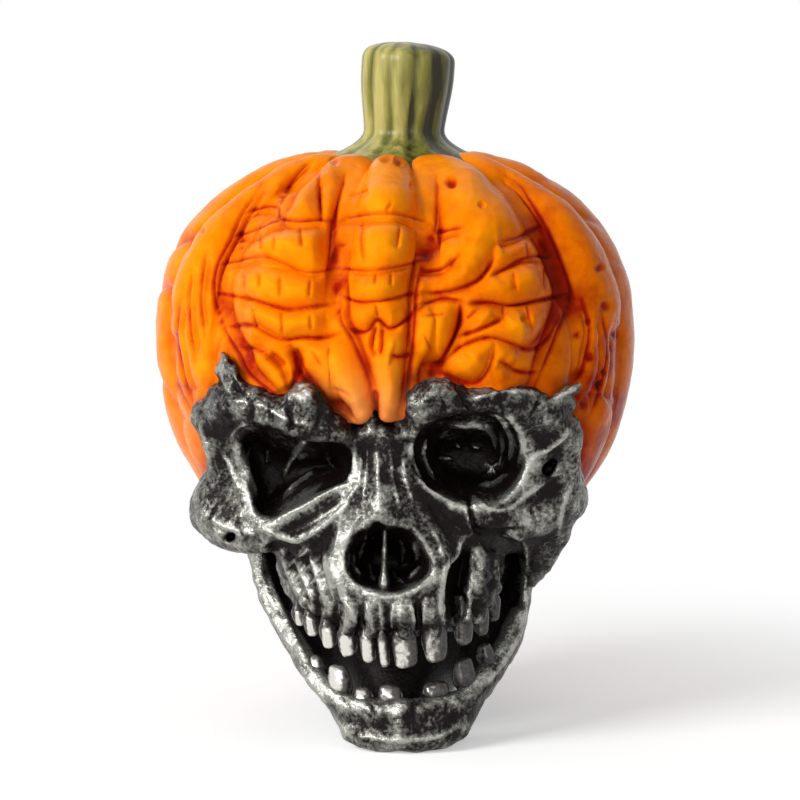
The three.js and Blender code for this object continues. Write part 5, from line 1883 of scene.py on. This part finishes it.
    # Raised lines, bright once they are dry-brushed; the short ones deep in the eyes and nose are also
    # painted glints
    ridges: tuple[Stroke, ...] = (
        # Rim and wrinkles of the right eye
        Stroke(((415, 435), (411, 448), (414, 466), (423, 485), (437, 495), (452, 503)), 0.8, -0.6),
        Stroke(((473, 496), (486, 507), (498, 510), (511, 508), (523, 498), (548, 481)), 0.8, -0.6),
        Stroke(((531, 468), (535, 457), (546, 451), (560, 441), (569, 431)), 1.0, -0.7),
        # Wrinkles on the walls of the right eye and short bumps in it, rubbed bright, partly as painted
        # glints
        Stroke(((452, 425), (465, 424), (478, 424), (489, 429), (495, 440), (497, 452)), 1.0, -1.1, near=-44),
        Stroke(((491, 411), (500, 417), (506, 425), (511, 436), (513, 450), (509, 464)), 0.9, -1.0, near=-44),
        Stroke(((506, 414), (516, 424), (522, 438), (523, 452), (518, 466)), 0.9, -1.0, near=-44),
        Stroke(((501, 432), (504, 446), (502, 460), (497, 470)), 0.9, -1.0, near=-42),
        Stroke(((426, 440), (422, 452), (425, 466), (434, 480)), 0.9, -0.9, near=-44),
        Stroke(((436, 458), (453, 459)), 1.0, -1.2, near=-38),
        Stroke(((472, 445), (479, 448)), 0.9, -1.0, near=-38),
        Stroke(((455, 444), (460, 446)), 0.9, -0.9, near=-38),
        Stroke(((485, 463), (492, 469), (496, 475)), 1.2, -1.3, near=-40),
        Stroke(((486, 476), (494, 467), (502, 461)), 0.9, -1.0, near=-40),
        Stroke(((478, 486), (494, 484), (508, 474)), 0.9, -0.9, near=-42),
        # Rim and wrinkles of the left eye
        Stroke(((224, 453), (230, 466), (238, 486)), 0.9, -0.6),
        Stroke(((248, 423), (238, 428), (230, 438)), 0.6, -0.4),
        Stroke(((350, 483), (330, 492), (305, 506), (274, 522)), 1.0, -0.8),
        # Wrinkles and short bumps deep in the left eye, rubbed bright, partly as painted glints
        Stroke(((307, 438), (301, 446), (296, 453), (290, 462), (284, 477)), 1.0, -1.3, near=-42),
        Stroke(((298, 456), (306, 455)), 0.9, -1.0, near=-40),
        Stroke(((268, 448), (267, 463)), 0.8, -0.8, near=-38),
        Stroke(((328, 455), (332, 464), (337, 470)), 0.9, -0.9, near=-42),
        Stroke(((252, 440), (246, 456), (249, 476), (258, 496)), 0.9, -0.7, near=-42),
        Stroke(((316, 470), (300, 482), (284, 496)), 0.8, -0.7, near=-40),
        # Strands from the nose to the left cheek
        Stroke(((344, 500), (326, 515), (303, 528), (289, 534)), 0.6, -0.5),
        Stroke(((346, 503), (327, 523), (313, 533), (298, 541), (281, 537), (261, 529)), 0.9, -0.6),
        Stroke(((360, 482), (349, 498), (341, 514), (338, 537), (333, 557)), 0.6, -0.5),
        # Bridge and rim of the nose
        Stroke(((355, 445), (354, 462), (349, 480)), 0.7, -0.5),
        Stroke(((361, 445), (361, 470), (358, 488)), 0.5, -0.4),
        Stroke(((368, 446), (367, 472), (363, 502)), 0.6, -0.45),
        Stroke(((377, 448), (378, 480), (380, 510)), 0.7, -0.5),
        Stroke(((390, 448), (393, 480), (400, 508)), 0.6, -0.4),
        Stroke(((402, 452), (406, 480), (414, 505)), 0.6, -0.45),
        Stroke(((352, 528), (344, 548), (344, 570), (354, 585)), 0.8, -0.5),
        Stroke(((364, 592), (388, 597), (412, 592), (429, 579)), 0.8, -0.5),
        Stroke(((412, 526), (424, 542), (434, 562)), 0.7, -0.4),
        # Short ridges inside the nose, rubbed bright as painted glints
        Stroke(((352, 552), (353, 566), (360, 578)), 0.9, -0.8, near=-45),
        Stroke(((366, 534), (361, 546), (358, 560)), 0.8, -0.8, near=-45),
        Stroke(((410, 578), (418, 572), (424, 565)), 1.0, -0.9, near=-46),
        Stroke(((404, 583), (396, 578), (392, 568)), 0.8, -0.8, near=-46),
        Stroke(((400, 536), (404, 550), (402, 566)), 0.8, -0.8, near=-44),
        Stroke(((414, 544), (418, 556), (414, 566)), 0.8, -0.7, near=-45),
        Stroke(((368, 560), (371, 574), (376, 584)), 0.8, -0.7, near=-44),
        # Right upper jaw
        Stroke(((472, 534), (461, 541), (457, 554), (446, 569), (442, 600), (445, 626)), 0.9, -0.6),
        Stroke(((466, 508), (469, 522), (473, 534)), 0.6, -0.5),
        Stroke(((480, 532), (500, 534), (521, 540), (527, 556), (526, 574)), 0.8, -0.45),
        Stroke(((463, 585), (470, 600), (466, 620)), 0.7, -0.6, near=-42),
        Stroke(((456, 590), (458, 606), (452, 620)), 0.6, -0.5, near=-42),
        Stroke(((440, 515), (452, 524), (462, 530)), 0.6, -0.5),
        Stroke(((432, 528), (440, 545), (444, 560)), 0.6, -0.4),
        # Torn brow and cheeks
        Stroke(((199, 420), (206, 446), (212, 472)), 0.9, -0.35),
        Stroke(((232, 400), (262, 406), (290, 420), (322, 428)), 0.8, -0.35),
        Stroke(((221, 356), (222, 376), (230, 394)), 0.9, -0.4),
        Stroke(((470, 400), (494, 394), (520, 391), (536, 395)), 0.8, -0.35),
        Stroke(((550, 401), (566, 393), (581, 384)), 0.8, -0.5),
        Stroke(((204, 512), (225, 527), (255, 533)), 1.1, -0.35),
        Stroke(((573, 480), (563, 507), (557, 542)), 0.9, -0.35),
        # Roots of the front teeth
        Stroke(((366, 602), (370, 616), (373, 630)), 0.7, -0.6),
        Stroke(((380, 604), (381, 618), (384, 632)), 0.6, -0.5),
        Stroke(((395, 604), (391, 618), (393, 630)), 0.7, -0.6),
        Stroke(((410, 602), (413, 616), (414, 630)), 0.7, -0.6),
        Stroke(((428, 596), (424, 612), (424, 630)), 0.7, -0.6),
        Stroke(((440, 590), (441, 610), (444, 628)), 0.8, -0.6),
    )
    # Cracks and the gaps between the roots
    cracks: tuple[Stroke, ...] = (
        Stroke(((468, 490), (471, 510), (477, 531), (500, 531), (523, 529)), 0.8, 1.1, sharp=1.4),
        Stroke(((248, 398), (253, 411), (248, 424)), 0.7, 0.6),
        Stroke(((268, 406), (273, 424)), 0.7, 0.5),
        Stroke(((286, 408), (292, 422), (289, 432)), 0.9, 0.9),
        Stroke(((322, 412), (316, 430)), 0.7, 0.6),
        Stroke(((228, 372), (238, 388), (250, 398)), 0.8, 0.6),
        Stroke(((440, 396), (447, 412)), 0.7, 0.6),
        Stroke(((462, 396), (472, 410)), 0.8, 0.8),
        Stroke(((498, 394), (503, 412)), 0.7, 0.5),
        Stroke(((541, 398), (530, 418)), 0.8, 0.7),
        Stroke(((235, 520), (244, 540)), 0.8, 0.5),
        Stroke(((530, 508), (538, 528)), 0.8, 0.5),
        Stroke(((208, 522), (217, 505)), 0.7, 0.5),
        Stroke(((362, 604), (361, 622), (360, 636)), 0.8, 0.65, sharp=1.2),
        Stroke(((387, 606), (388, 622), (388, 640)), 0.9, 0.65, sharp=1.2),
        Stroke(((418, 604), (419, 622), (420, 640)), 0.9, 0.65, sharp=1.2),
        Stroke(((336, 590), (336, 612), (338, 632)), 0.8, 0.65, sharp=1.2),
        Stroke(((316, 596), (318, 612), (319, 628)), 0.8, 0.65, sharp=1.2),
    )

    def face(self, pumpkin: Pumpkin) -> Surface:
        """Models the face.

        Args:
            pumpkin: the pumpkin that the torn edge of the bone laps onto.

        Returns:
            The skin of the face, with its mark of pewter and painted light.
        """
        clay = Clay(self.low, self.high, self.pitch)

        def over_pumpkin(x: np.ndarray, z: np.ndarray) -> np.ndarray:
            """Depth of bone that just laps onto the pumpkin, above the eyes."""
            drop = (self.lap + self.middle_drop) * mask_middle(x)
            return np.where(z > self.lap_height, pumpkin.front_at(x, z) - self.lap + drop, 0.0)

        clay.slab(self.mask, over_pumpkin, 0.6)
        clay.bar(self.backing, 2.0)
        for rows in self.rolls:
            clay.bar(rows, 2.2)
        for rows in self.roots:
            clay.bar(tuple((x, y, depth - self.root_rise, radius) for x, y, depth, radius in rows), 1.6)
        for x, y, depth, radius in self.gums:
            clay.lump((x, y, depth + self.gum_sink), (radius, radius, radius), 1.2)
        for x, y, depth, radius in self.molars:
            clay.lump((x, y, depth), (radius, radius * 1.2, radius * 1.25), 0.7)
        for rows in self.hollows:
            clay.bar(rows, 1.2, Tool.CUT)
        for outline, front, floor, slope, blend in self.pockets:
            clay.pocket(outline, front, floor, slope, blend)
        for x, y, depth, radius in self.holes:
            clay.bar(tuple((x, y, depth + reach, radius) for reach in self.hole_reach), 0.6, Tool.CUT)
        clay.soften(1)
        clay.keep_within(1, *self.face_depths)
        skin = clay.surface()
        fine = clay.shade(skin.points, self.fine_reach)
        broad = clay.shade(skin.points, self.broad_reach)
        skin.roughen(3.2, 0.35, 5.0)
        skin.carve(self.weave(), "weave")
        skin.carve(self.ridges + self.cracks, "ridge")
        skin.roughen(1.5, 0.1 + 0.3 * ease(62.0, 68.0, skin.points[:, 2]), 6.5)
        skin.roughen(0.9, 0.09, 6.0)
        skin.marks["pewter_and_painted_light"] = self.rubbed(skin, fine, broad) * ease(-12.0, -21.0, skin.points[:, 1])
        return skin

    def weave(self) -> tuple[Stroke, ...]:
        """The strands and ties of the upper jaw, which cross as a lattice."""
        strands = [Stroke(line, *self.strand_size, sharp=1.3, taper=0.5) for line in self.strands]
        return tuple(strands + [Stroke(line, *self.tie_size, sharp=1.3) for line in self.ties])

    def rubbed(self, skin: Surface, fine: np.ndarray, broad: np.ndarray) -> np.ndarray:
        """Works out how much pewter the brush has left at each point, with painted light added on faces
        turned to the light.

        Args:
            skin: the sculpted skin, with the depth of its tool marks.
            fine: how far each point is sunk among its close surroundings.
            broad: the same among its wider surroundings.

        Returns:
            A share from 0, bare black, to 1, rubbed bright or painted lit.
        """
        ridge = skin.marks.pop("ridge")
        weave = skin.marks.pop("weave", np.zeros(len(skin.points)))
        # Painted light: edges and broad faces turned to the light on the left get more pewter
        facing_painted_light = skin.averaged(skin.normals(), 2) @ np.array(self.brush)
        broken = 0.75 + 0.7 * grain(skin.points, 5.0, 21.0)
        broadly = ease(0.58, 0.34, broad) * 0.34
        edges = ease(0.5, 0.36, fine) * (0.08 + 0.46 * ease(-0.3, 0.7, facing_painted_light)) * broken
        # Painted light on the right cheek, on faces turned to the right
        turned = ease(0.35, 0.95, skin.normals() @ np.array(self.painted_light_right))
        turned = turned * ease(20.0, 28.0, skin.points[:, 0])
        painted_light_and_dust = (ease(0.3, 0.95, facing_painted_light) * 0.26 + turned * 0.24) * ease(0.62, 0.5, broad) + self.dust
        hollow = ease(0.5, 0.6, fine) * 0.6
        lines = np.maximum(-ridge, 0.0) * 1.9 - np.maximum(ridge, 0.0) * 0.9
        lines += np.maximum(-weave, 0.0) * 0.75 - 0.1 * (weave < -0.01)
        brow = 1.0 - 0.28 * ease(61.0, 67.0, skin.points[:, 2])
        return np.clip(skin.averaged((broadly + edges + painted_light_and_dust) * brow - hollow + lines, 1), 0.0, 1.0)

    def keel(self, solid: bpy.types.Object) -> Surface:
        """Models the plain keel and the back of the skull, softened as a casting is.

        Args:
            solid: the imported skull.

        Returns:
            The skin of the keel, with its silver mark.
        """
        clay = Clay(self.keel_low, self.keel_high, self.keel_pitch)
        clay.solid(solid)
        for rows in self.walls:
            clay.bar(rows, 2.0)
        clay.soften(5)
        clay.keep_within(2, *self.keel_heights)
        clay.keep_within(1, *self.keel_depths)
        skin = clay.surface().largest_island()
        skin.points[:, 2] = np.maximum(skin.points[:, 2], 0.0)
        raised = ease(0.55, 0.35, clay.shade(skin.points, self.keel_reach)) * 0.4
        skin.marks = {"pewter_and_painted_light": raised * ease(-20.0, 0.0, skin.points[:, 1])}
        return skin

    def build(
        self, solid: bpy.types.Object, pumpkin: Pumpkin, paint: bpy.types.Material
    ) -> list[bpy.types.Object]:
        """Makes the skull.

        Args:
            solid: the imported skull, which the keel follows.
            pumpkin: the pumpkin that the torn edge of the bone laps onto.
            paint: the finish of the bone.

        Returns:
            The face, and the keel behind it.
        """
        skin = self.face(pumpkin)
        face = skin.make("skull_face", paint)
        thin_out(face, skin.points[:, 1] > self.thin_behind, self.most_triangles)
        keel = self.keel(solid).make("skull_keel", paint)
        return [stand_in(piece, "skull") for piece in (face, keel)]


@dataclass
class Jaw:
    """The lower jaw, a bent plate from one side of the skull to the other with a hollowed chin."""

    low: Place = (-38.0, -48.0, -1.0)
    high: Place = (40.0, -2.0, 48.0)
    pitch: float = 0.4
    heights: Pair = (0.0, 60.0)
    plate: Slab = Slab(
        outline=(
            (247, 540), (247, 552), (252, 572), (261, 602), (277, 630), (288, 648), (300, 672), (318, 692),
            (330, 712), (341, 729), (356, 741), (378, 747), (402, 750), (428, 749), (449, 744), (466, 735),
            (476, 718), (488, 697), (506, 670), (520, 645), (528, 617), (532, 590), (536, 550), (536, 540),
            (521, 540), (521, 580), (518, 605), (509, 630), (497, 650), (486, 668), (477, 690), (456, 699),
            (430, 701), (400, 703), (370, 701), (350, 698), (331, 694), (322, 678), (313, 660), (302, 641),
            (289, 618), (278, 594), (269, 572), (264, 540),
        ),
        depths=(
            (252, 545, -16), (256, 580, -18), (268, 612, -21), (288, 645, -26.5), (312, 680, -33),
            (340, 706, -38.6), (370, 712, -42), (400, 712, -43.4), (436, 712, -42.4), (466, 700, -38.6),
            (494, 672, -32.6), (513, 642, -26), (523, 606, -20), (529, 570, -17.6), (330, 716, -36),
            (350, 738, -39), (378, 744, -42), (402, 746, -43), (428, 745, -42.4), (452, 738, -40),
            (472, 718, -37),
        ),
        rounding=2.4,
        thickness=9.5,
        lean=0.1,
        ragged=0.35,
    )
    rolls: Lines = (
        (
            (270, 594, -16.6, 1.8), (284, 622, -20.6, 2.0), (298, 646, -25.6, 2.2), (311, 668, -30, 2.3),
            (324, 686, -33.4, 2.3), (346, 703, -37, 2.1), (374, 707, -39.6, 1.9), (404, 708, -40.6, 1.9),
            (438, 705, -39.6, 1.9), (464, 697, -36.4, 2.1), (484, 676, -32.8, 2.2), (503, 648, -27, 2.1),
            (516, 615, -20.6, 1.9),
        ),
        ((352, 731, -37.4, 2.4), (368, 738, -39.8, 2.4), (386, 741, -41, 2.2)),
        ((416, 741, -41, 2.2), (440, 737, -39.8, 2.4), (458, 727, -37.4, 2.4)),
        ((401, 708, -42.2, 1.5), (400, 724, -42.8, 1.6), (401, 740, -42, 2.0)),
    )
    hollows: Lines = (
        ((358, 719, -43.6, 1.6), (376, 723, -45.2, 2.2), (391, 722, -45.8, 1.7)),
        ((412, 718, -45.8, 1.8), (434, 717, -45.2, 2.7), (457, 712, -42.4, 2.3)),
    )
    ridges: tuple[Stroke, ...] = (
        Stroke(((249, 552), (254, 572), (264, 602), (280, 630), (291, 648)), 0.8, -0.5),
        Stroke(((264, 556), (271, 582), (283, 610), (293, 632), (303, 652)), 0.8, -0.5),
        Stroke(((300, 668), (318, 692), (332, 714), (345, 732)), 0.9, -0.4),
        Stroke(((360, 735), (385, 740), (410, 740), (440, 736), (462, 722)), 0.9, -0.4),
        Stroke(((527, 596), (520, 633), (505, 660), (487, 684)), 0.8, -0.5),
        Stroke(((372, 704), (374, 716)), 0.7, 0.5),
        Stroke(((345, 698), (350, 712)), 0.7, 0.5),
        Stroke(((414, 704), (414, 716)), 0.7, 0.5),
        Stroke(((448, 702), (446, 714)), 0.7, 0.5),
    )

    def build(self, skull: Skull, paint: bpy.types.Material) -> bpy.types.Object:
        """Makes the jaw.

        Args:
            skull: the skull, whose way of rubbing on the pewter and painting in light the jaw shares.
            paint: the finish of the bone.

        Returns:
            The finished jaw.
        """
        clay = Clay(self.low, self.high, self.pitch)
        clay.slab(self.plate, None, 0.6)
        for rows in self.rolls:
            clay.bar(rows, 1.8)
        for rows in self.hollows:
            clay.bar(rows, 1.2, Tool.CUT)
        clay.soften(1)
        clay.keep_within(2, *self.heights)
        skin = clay.surface()
        fine = clay.shade(skin.points, skull.fine_reach)
        broad = clay.shade(skin.points, skull.broad_reach)
        skin.roughen(2.8, 0.28, 7.0)
        skin.carve(self.ridges, "ridge")
        skin.roughen(0.9, 0.06, 8.0)
        skin.points[:, 2] = np.maximum(skin.points[:, 2], 0.0)
        skin.marks["pewter_and_painted_light"] = skull.rubbed(skin, fine, broad) * ease(-9.0, -18.0, skin.points[:, 1])
        return stand_in(skin.make("lower_jaw_bone", paint), "lower_jaw")


@dataclass
class Teeth:
    """Both rows of teeth, each a worn crown on its root."""

    # Rows are place along the arch, crown width, gum line and cutting edge
    upper: Rows = (
        (-19.4, 2.6, 30, 26.2), (-17, 2.9, 29.2, 24.3), (-13.8, 3.4, 27.6, 22.2), (-10, 3.9, 26.4, 20.6),
        (-6, 3.2, 26, 19.4), (-2.9, 2.3, 25.8, 18.4), (1.3, 5.2, 25.8, 17.8), (7.3, 5.3, 26, 18.2),
        (13.2, 3.9, 26.6, 20.4), (16.8, 3, 28.2, 21.4), (19.4, 2.6, 29.4, 23.6),
    )
    lower: Rows = (
        (-17.2, 3.2, 14.6, 19.4), (-12.8, 5.2, 11.4, 17.8), (-8, 3.8, 10.6, 13.4), (-2.6, 4.8, 10.4, 13.8),
        (6.6, 5.4, 10.4, 13.4), (12.6, 5, 11, 17.2), (17.2, 3.2, 14.6, 19),
    )
    upper_front: float = 44.6
    lower_front: float = 40.0
    curve: float = 0.031
    depth: float = 4.4
    upper_root: float = 4.0
    lower_root: float = 2.2
    roll: float = math.radians(-5.2)
    pivot: float = 30.0
    points: int = 36
    rings: int = 26
    root_rings: int = 6
    tip_shares: tuple[float, ...] = (0.95, 0.98, 0.995, 1.0)
    squareness: float = 0.84

    def crown(self, row: tuple[float, ...], front: float, root: float, seed: float) -> Surface:
        """Models one tooth, from its root to its worn cutting edge.

        Args:
            row: place along the arch, crown width, gum line and cutting edge.
            front: how far forward the arch reaches.
            root: how far the root reaches into the bone.
            seed: the place in the noise that makes this tooth its own shape.

        Returns:
            The tooth's skin, with its mark of pewter and painted light.
        """
        x, width, gum, edge = row
        length = edge - gum
        y = -front + self.curve * x * x
        turn = math.atan(2 * self.curve * x)
        across, inward = rounded_ring(self.points, self.squareness)
        below = np.linspace(-root / abs(length), 0.0, self.root_rings)
        body = np.linspace(0.06, 0.9, self.rings - self.root_rings - len(self.tip_shares))
        rings = []
        for share in (*below, *body, *self.tip_shares):
            up = max(0.0, share)
            belly = 0.76 + 0.26 * math.sin(math.pi * up**0.7)
            if share <= 0:
                belly = 0.58 + 0.18 * math.exp(share * 4)
            close = math.sqrt(max(0.0, 1.0 - max(0.0, (share - 0.84) / 0.16) ** 2.2))
            thin = 1.0 - 0.4 * up**1.6
            a = across * (width / 2) * belly * (0.25 + 0.75 * close)
            b = inward * (self.depth / 2) * belly * thin * (0.2 + 0.8 * close)
            worn = 0.35 * math.sin(seed * 5.0) * a * 2 / width * up
            px = x + a * math.cos(turn) - b * math.sin(turn)
            py = y + a * math.sin(turn) + b * math.cos(turn)
            rings.append(np.stack([px, py, gum + length * share + worn], 1))
        skin = loft(rings if length > 0 else rings[::-1])
        skin.roughen(1.8, 0.16, seed)
        along = (skin.points[:, 2] - gum) / length
        # More pewter and painted light on the teeth further left, and less on the lower row
        bright = 0.47 - 0.018 * x - (0.1 if length > 0 else 0.0)
        side = (skin.points[:, 0] - x) * 2 / width
        # Painted highlight: a bright stripe left of the middle of each crown
        middle = ease(-1.0, -0.6, side) * ease(0.85, -0.35, side)
        rubbed = ease(0.02, 0.4, along) * (1.0 - 0.4 * ease(0.85, 1.0, along))
        pewter_and_painted_light = bright * (0.15 + 0.85 * rubbed) * (0.15 + 1.1 * middle)
        skin.marks["pewter_and_painted_light"] = np.clip(pewter_and_painted_light, 0.0, 1.0)
        rise = skin.points[:, 2] - self.pivot
        turned = skin.points.copy()
        turned[:, 0] = skin.points[:, 0] * math.cos(self.roll) + rise * math.sin(self.roll)
        turned[:, 2] = self.pivot - skin.points[:, 0] * math.sin(self.roll) + rise * math.cos(self.roll)
        skin.points = turned
        return skin

    def build(self) -> list[bpy.types.Object]:
        """Makes every tooth as a piece of its own.

        Returns:
            The upper teeth and then the lower ones.
        """
        paint = ToothPaint().material()
        pieces = []
        upper = ("upper", self.upper, self.upper_front, self.upper_root)
        lower = ("lower", self.lower, self.lower_front, self.lower_root)
        for jaw, rows, front, root in (upper, lower):
            for number, row in enumerate(rows, 1):
                crown = self.crown(row, front, root, number * 3.7 + len(jaw) + front)
                piece = crown.make(f"{jaw}_crown_{number}", paint)
                pieces.append(stand_in(piece, f"{jaw}_tooth_{number}"))
        return pieces


@dataclass
class Septum:
    """The thin plate of bone that divides the nose, with a thick foot and a ragged front edge."""

    foot: Pair = (384.0, 588.0)
    head: Pair = (385.0, 524.0)
    front: float = -43.6
    back: float = -31.5
    half: float = 0.75
    rings: int = 40
    points: int = 24
    squareness: float = 0.6

    def build(self, paint: bpy.types.Material) -> bpy.types.Object:
        """Makes the plate from rounded sections stacked from its foot to its head.

        Args:
            paint: the finish of the bone.

        Returns:
            The finished plate.
        """
        across, inward = rounded_ring(self.points, self.squareness)
        rings = []
        for share in np.linspace(0.0, 1.0, self.rings):
            at = np.array([self.foot]) * (1 - share) + np.array([self.head]) * share
            front = self.front - 1.2 * math.exp(-((share - 0.1) / 0.12) ** 2)
            front += 1.6 * share**2 + 0.4 * math.sin(share * 17.0)
            middle = VIEW.place(at, np.array([(front + self.back) / 2]))[0]
            half = self.half * (1.0 + 0.7 * math.exp(-((share - 0.12) / 0.13) ** 2)) * (1.0 - 0.35 * share)
            deep = (self.back - front) / 2
            ring = np.stack([across * half, inward * deep, np.zeros(self.points)], 1)
            rings.append(ring + middle)
        skin = loft(rings)
        skin.roughen(1.5, 0.12, 9.0)
        skin.marks["pewter_and_painted_light"] = ease(-39.4, -41.6, skin.points[:, 1])
        return stand_in(skin.make("nose_divider", paint), "nasal_septum")


@dataclass
class Studio:
    """Pale floor, soft lamps and the camera."""

    paper: str = "#f4f4f3"
    fibre: str = "#f3f3f2"
    pale_fibre: str = "#f8f8f7"
    fibre_size: float = 3.0
    white: tuple[float, float, float, float] = (1.0, 1.0, 1.0, 1.0)
    sky: float = 0.15
    lift: float = 0.45
    floor_half: float = 4.0
    shadow_reach: float = 0.05
    white_reach: float = 0.2
    aim: Place = (0.0, 0.0, 0.07)
    # Name, place and size in metres, and power in watts of each soft box
    lamps: tuple[tuple[str, Place, float, float], ...] = (
        ("key_left", (-0.85, -0.7, 0.6), 0.55, 12.5),
        ("fill_right", (0.8, -0.8, 0.4), 0.6, 0.3),
        ("top_back", (0.0, 0.25, 1.1), 0.8, 1.4),
        ("front_soft", (-0.2, -1.1, 0.34), 0.6, 3.0),
    )

    def lamp(self, name: str, place: Place, size: float, power: float) -> None:
        """Hangs a square soft box that looks at the middle of the object.

        Args:
            name: its name.
            place: where it hangs, in metres.
            size: its side in metres.
            power: its power in watts.
        """
        data = bpy.data.lights.new(name, "AREA")
        data.shape = "SQUARE"
        data.size = size
        data.energy = power
        lamp = bpy.data.objects.new(name, data)
        lamp.location = place
        lamp.rotation_euler = (Vector(self.aim) - Vector(place)).to_track_quat("-Z", "Y").to_euler()
        bpy.context.scene.collection.objects.link(lamp)

    def split(
        self, tree: bpy.types.NodeTree, hidden: bpy.types.Node, shown: bpy.types.Node
    ) -> bpy.types.NodeSocket:
        """Shows one shader to the camera and in mirrors, and lights the object with another.

        Args:
            tree: the node tree that takes the nodes.
            hidden: the shader that only gives light.
            shown: the shader that is seen.

        Returns:
            The joined shader.
        """
        path = add_node(tree, "ShaderNodeLightPath", {}).outputs
        seen = path["Is Camera Ray"]
        for ray in ("Is Glossy Ray", "Is Transmission Ray"):
            seen = add_node(tree, "ShaderNodeMath", {0: seen, 1: path[ray]}, operation="MAXIMUM").outputs[0]
        shaders = {0: seen, 1: hidden.outputs[0], 2: shown.outputs[0]}
        return add_node(tree, "ShaderNodeMixShader", shaders).outputs[0]

    def world(self) -> None:
        """Puts soft grey light all round, and white where the camera sees past the floor."""
        world = bpy.data.worlds.new("studio")
        world.use_nodes = True
        tree = world.node_tree
        tree.nodes.clear()
        soft = add_node(tree, "ShaderNodeBackground", {"Color": linear(self.paper), "Strength": self.sky})
        white = add_node(tree, "ShaderNodeBackground", {"Color": self.white, "Strength": 1.0})
        add_node(tree, "ShaderNodeOutputWorld", {"Surface": self.split(tree, soft, white)})
        bpy.context.scene.world = world

    def floor(self) -> None:
        """Lays a wide pale sheet that keeps the shadow and fades to white for the camera."""
        half = self.floor_half
        mesh = bpy.data.meshes.new("studio_floor")
        corners = [(-half, -half, 0), (half, -half, 0), (half, half, 0), (-half, half, 0)]
        mesh.from_pydata(corners, [], [(0, 1, 2, 3)])
        material, tree, place = new_material("matt_white_paper")
        grain_size = {"Vector": place, "Scale": per_metre(self.fibre_size), "Detail": 2.0}
        fibre = add_node(tree, "ShaderNodeTexNoise", grain_size).outputs["Fac"]
        tones = {0: fibre, 6: linear(self.fibre), 7: linear(self.pale_fibre)}
        tone = add_node(tree, "ShaderNodeMix", tones, data_type="RGBA").outputs[2]
        paper = add_node(tree, "ShaderNodeBsdfDiffuse", {"Color": tone})
        lift = add_node(tree, "ShaderNodeEmission", {"Color": self.white, "Strength": self.lift})
        lifted = add_node(tree, "ShaderNodeAddShader", {0: paper.outputs[0], 1: lift.outputs[0]})
        white = add_node(tree, "ShaderNodeEmission", {"Color": self.white, "Strength": 1.0})
        away = add_node(tree, "ShaderNodeVectorMath", {0: place}, operation="LENGTH").outputs["Value"]
        reach = {"Value": away, "From Min": self.shadow_reach, "From Max": self.white_reach}
        fade = add_node(tree, "ShaderNodeMapRange", reach, interpolation_type="SMOOTHSTEP")
        shaders = {0: fade.outputs[0], 1: lifted.outputs[0], 2: white.outputs[0]}
        shown = add_node(tree, "ShaderNodeMixShader", shaders)
        add_node(tree, "ShaderNodeOutputMaterial", {"Surface": self.split(tree, paper, shown)})
        mesh.materials.append(material)
        floor = bpy.data.objects.new("studio_floor", mesh)
        bpy.context.scene.collection.objects.link(floor)

    def camera(self) -> None:
        """Puts the camera where the photograph was taken from."""
        eye, right, up, forward = VIEW.axes()
        data = bpy.data.cameras.new("front_view")
        data.sensor_width = VIEW.sensor
        data.sensor_fit = "HORIZONTAL"
        data.lens = VIEW.points_per_slope * VIEW.sensor / (2 * VIEW.half_frame)
        data.clip_start = 0.01
        camera = bpy.data.objects.new("front_view", data)
        turn = Matrix((right, up, -forward)).transposed().to_4x4()
        camera.matrix_world = Matrix.Translation(Vector(eye * METRE)) @ turn
        bpy.context.scene.collection.objects.link(camera)
        bpy.context.scene.camera = camera

    def build(self) -> None:
        """Sets up everything round the object."""
        self.world()
        self.floor()
        self.camera()
        for name, place, size, power in self.lamps:
            self.lamp(name, place, size, power)
        bpy.context.scene.view_settings.view_transform = "Standard"


def main() -> None:
    """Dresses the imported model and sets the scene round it."""
    logging.basicConfig(level=logging.INFO)
    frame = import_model()
    nodes = frame["nodes"]
    bone = BonePaint().material()
    pumpkin = Pumpkin()
    skull = Skull()
    pieces = pumpkin.build(skull.mask)
    pieces.append(Stem().build())
    pieces += skull.build(nodes["skull"], pumpkin, bone)
    pieces.append(Jaw().build(skull, bone))
    pieces.append(Septum().build(bone))
    pieces += Teeth().build()
    for piece in pieces:
        LOG.info("%s: %d points, %d faces", piece.name, len(piece.data.vertices), len(piece.data.polygons))
    plug = nodes["base_plug"]
    plug.data.materials.clear()
    plug.data.materials.append(PlugResin().material())
    Studio().build()


if __name__ == "__main__":
    main()
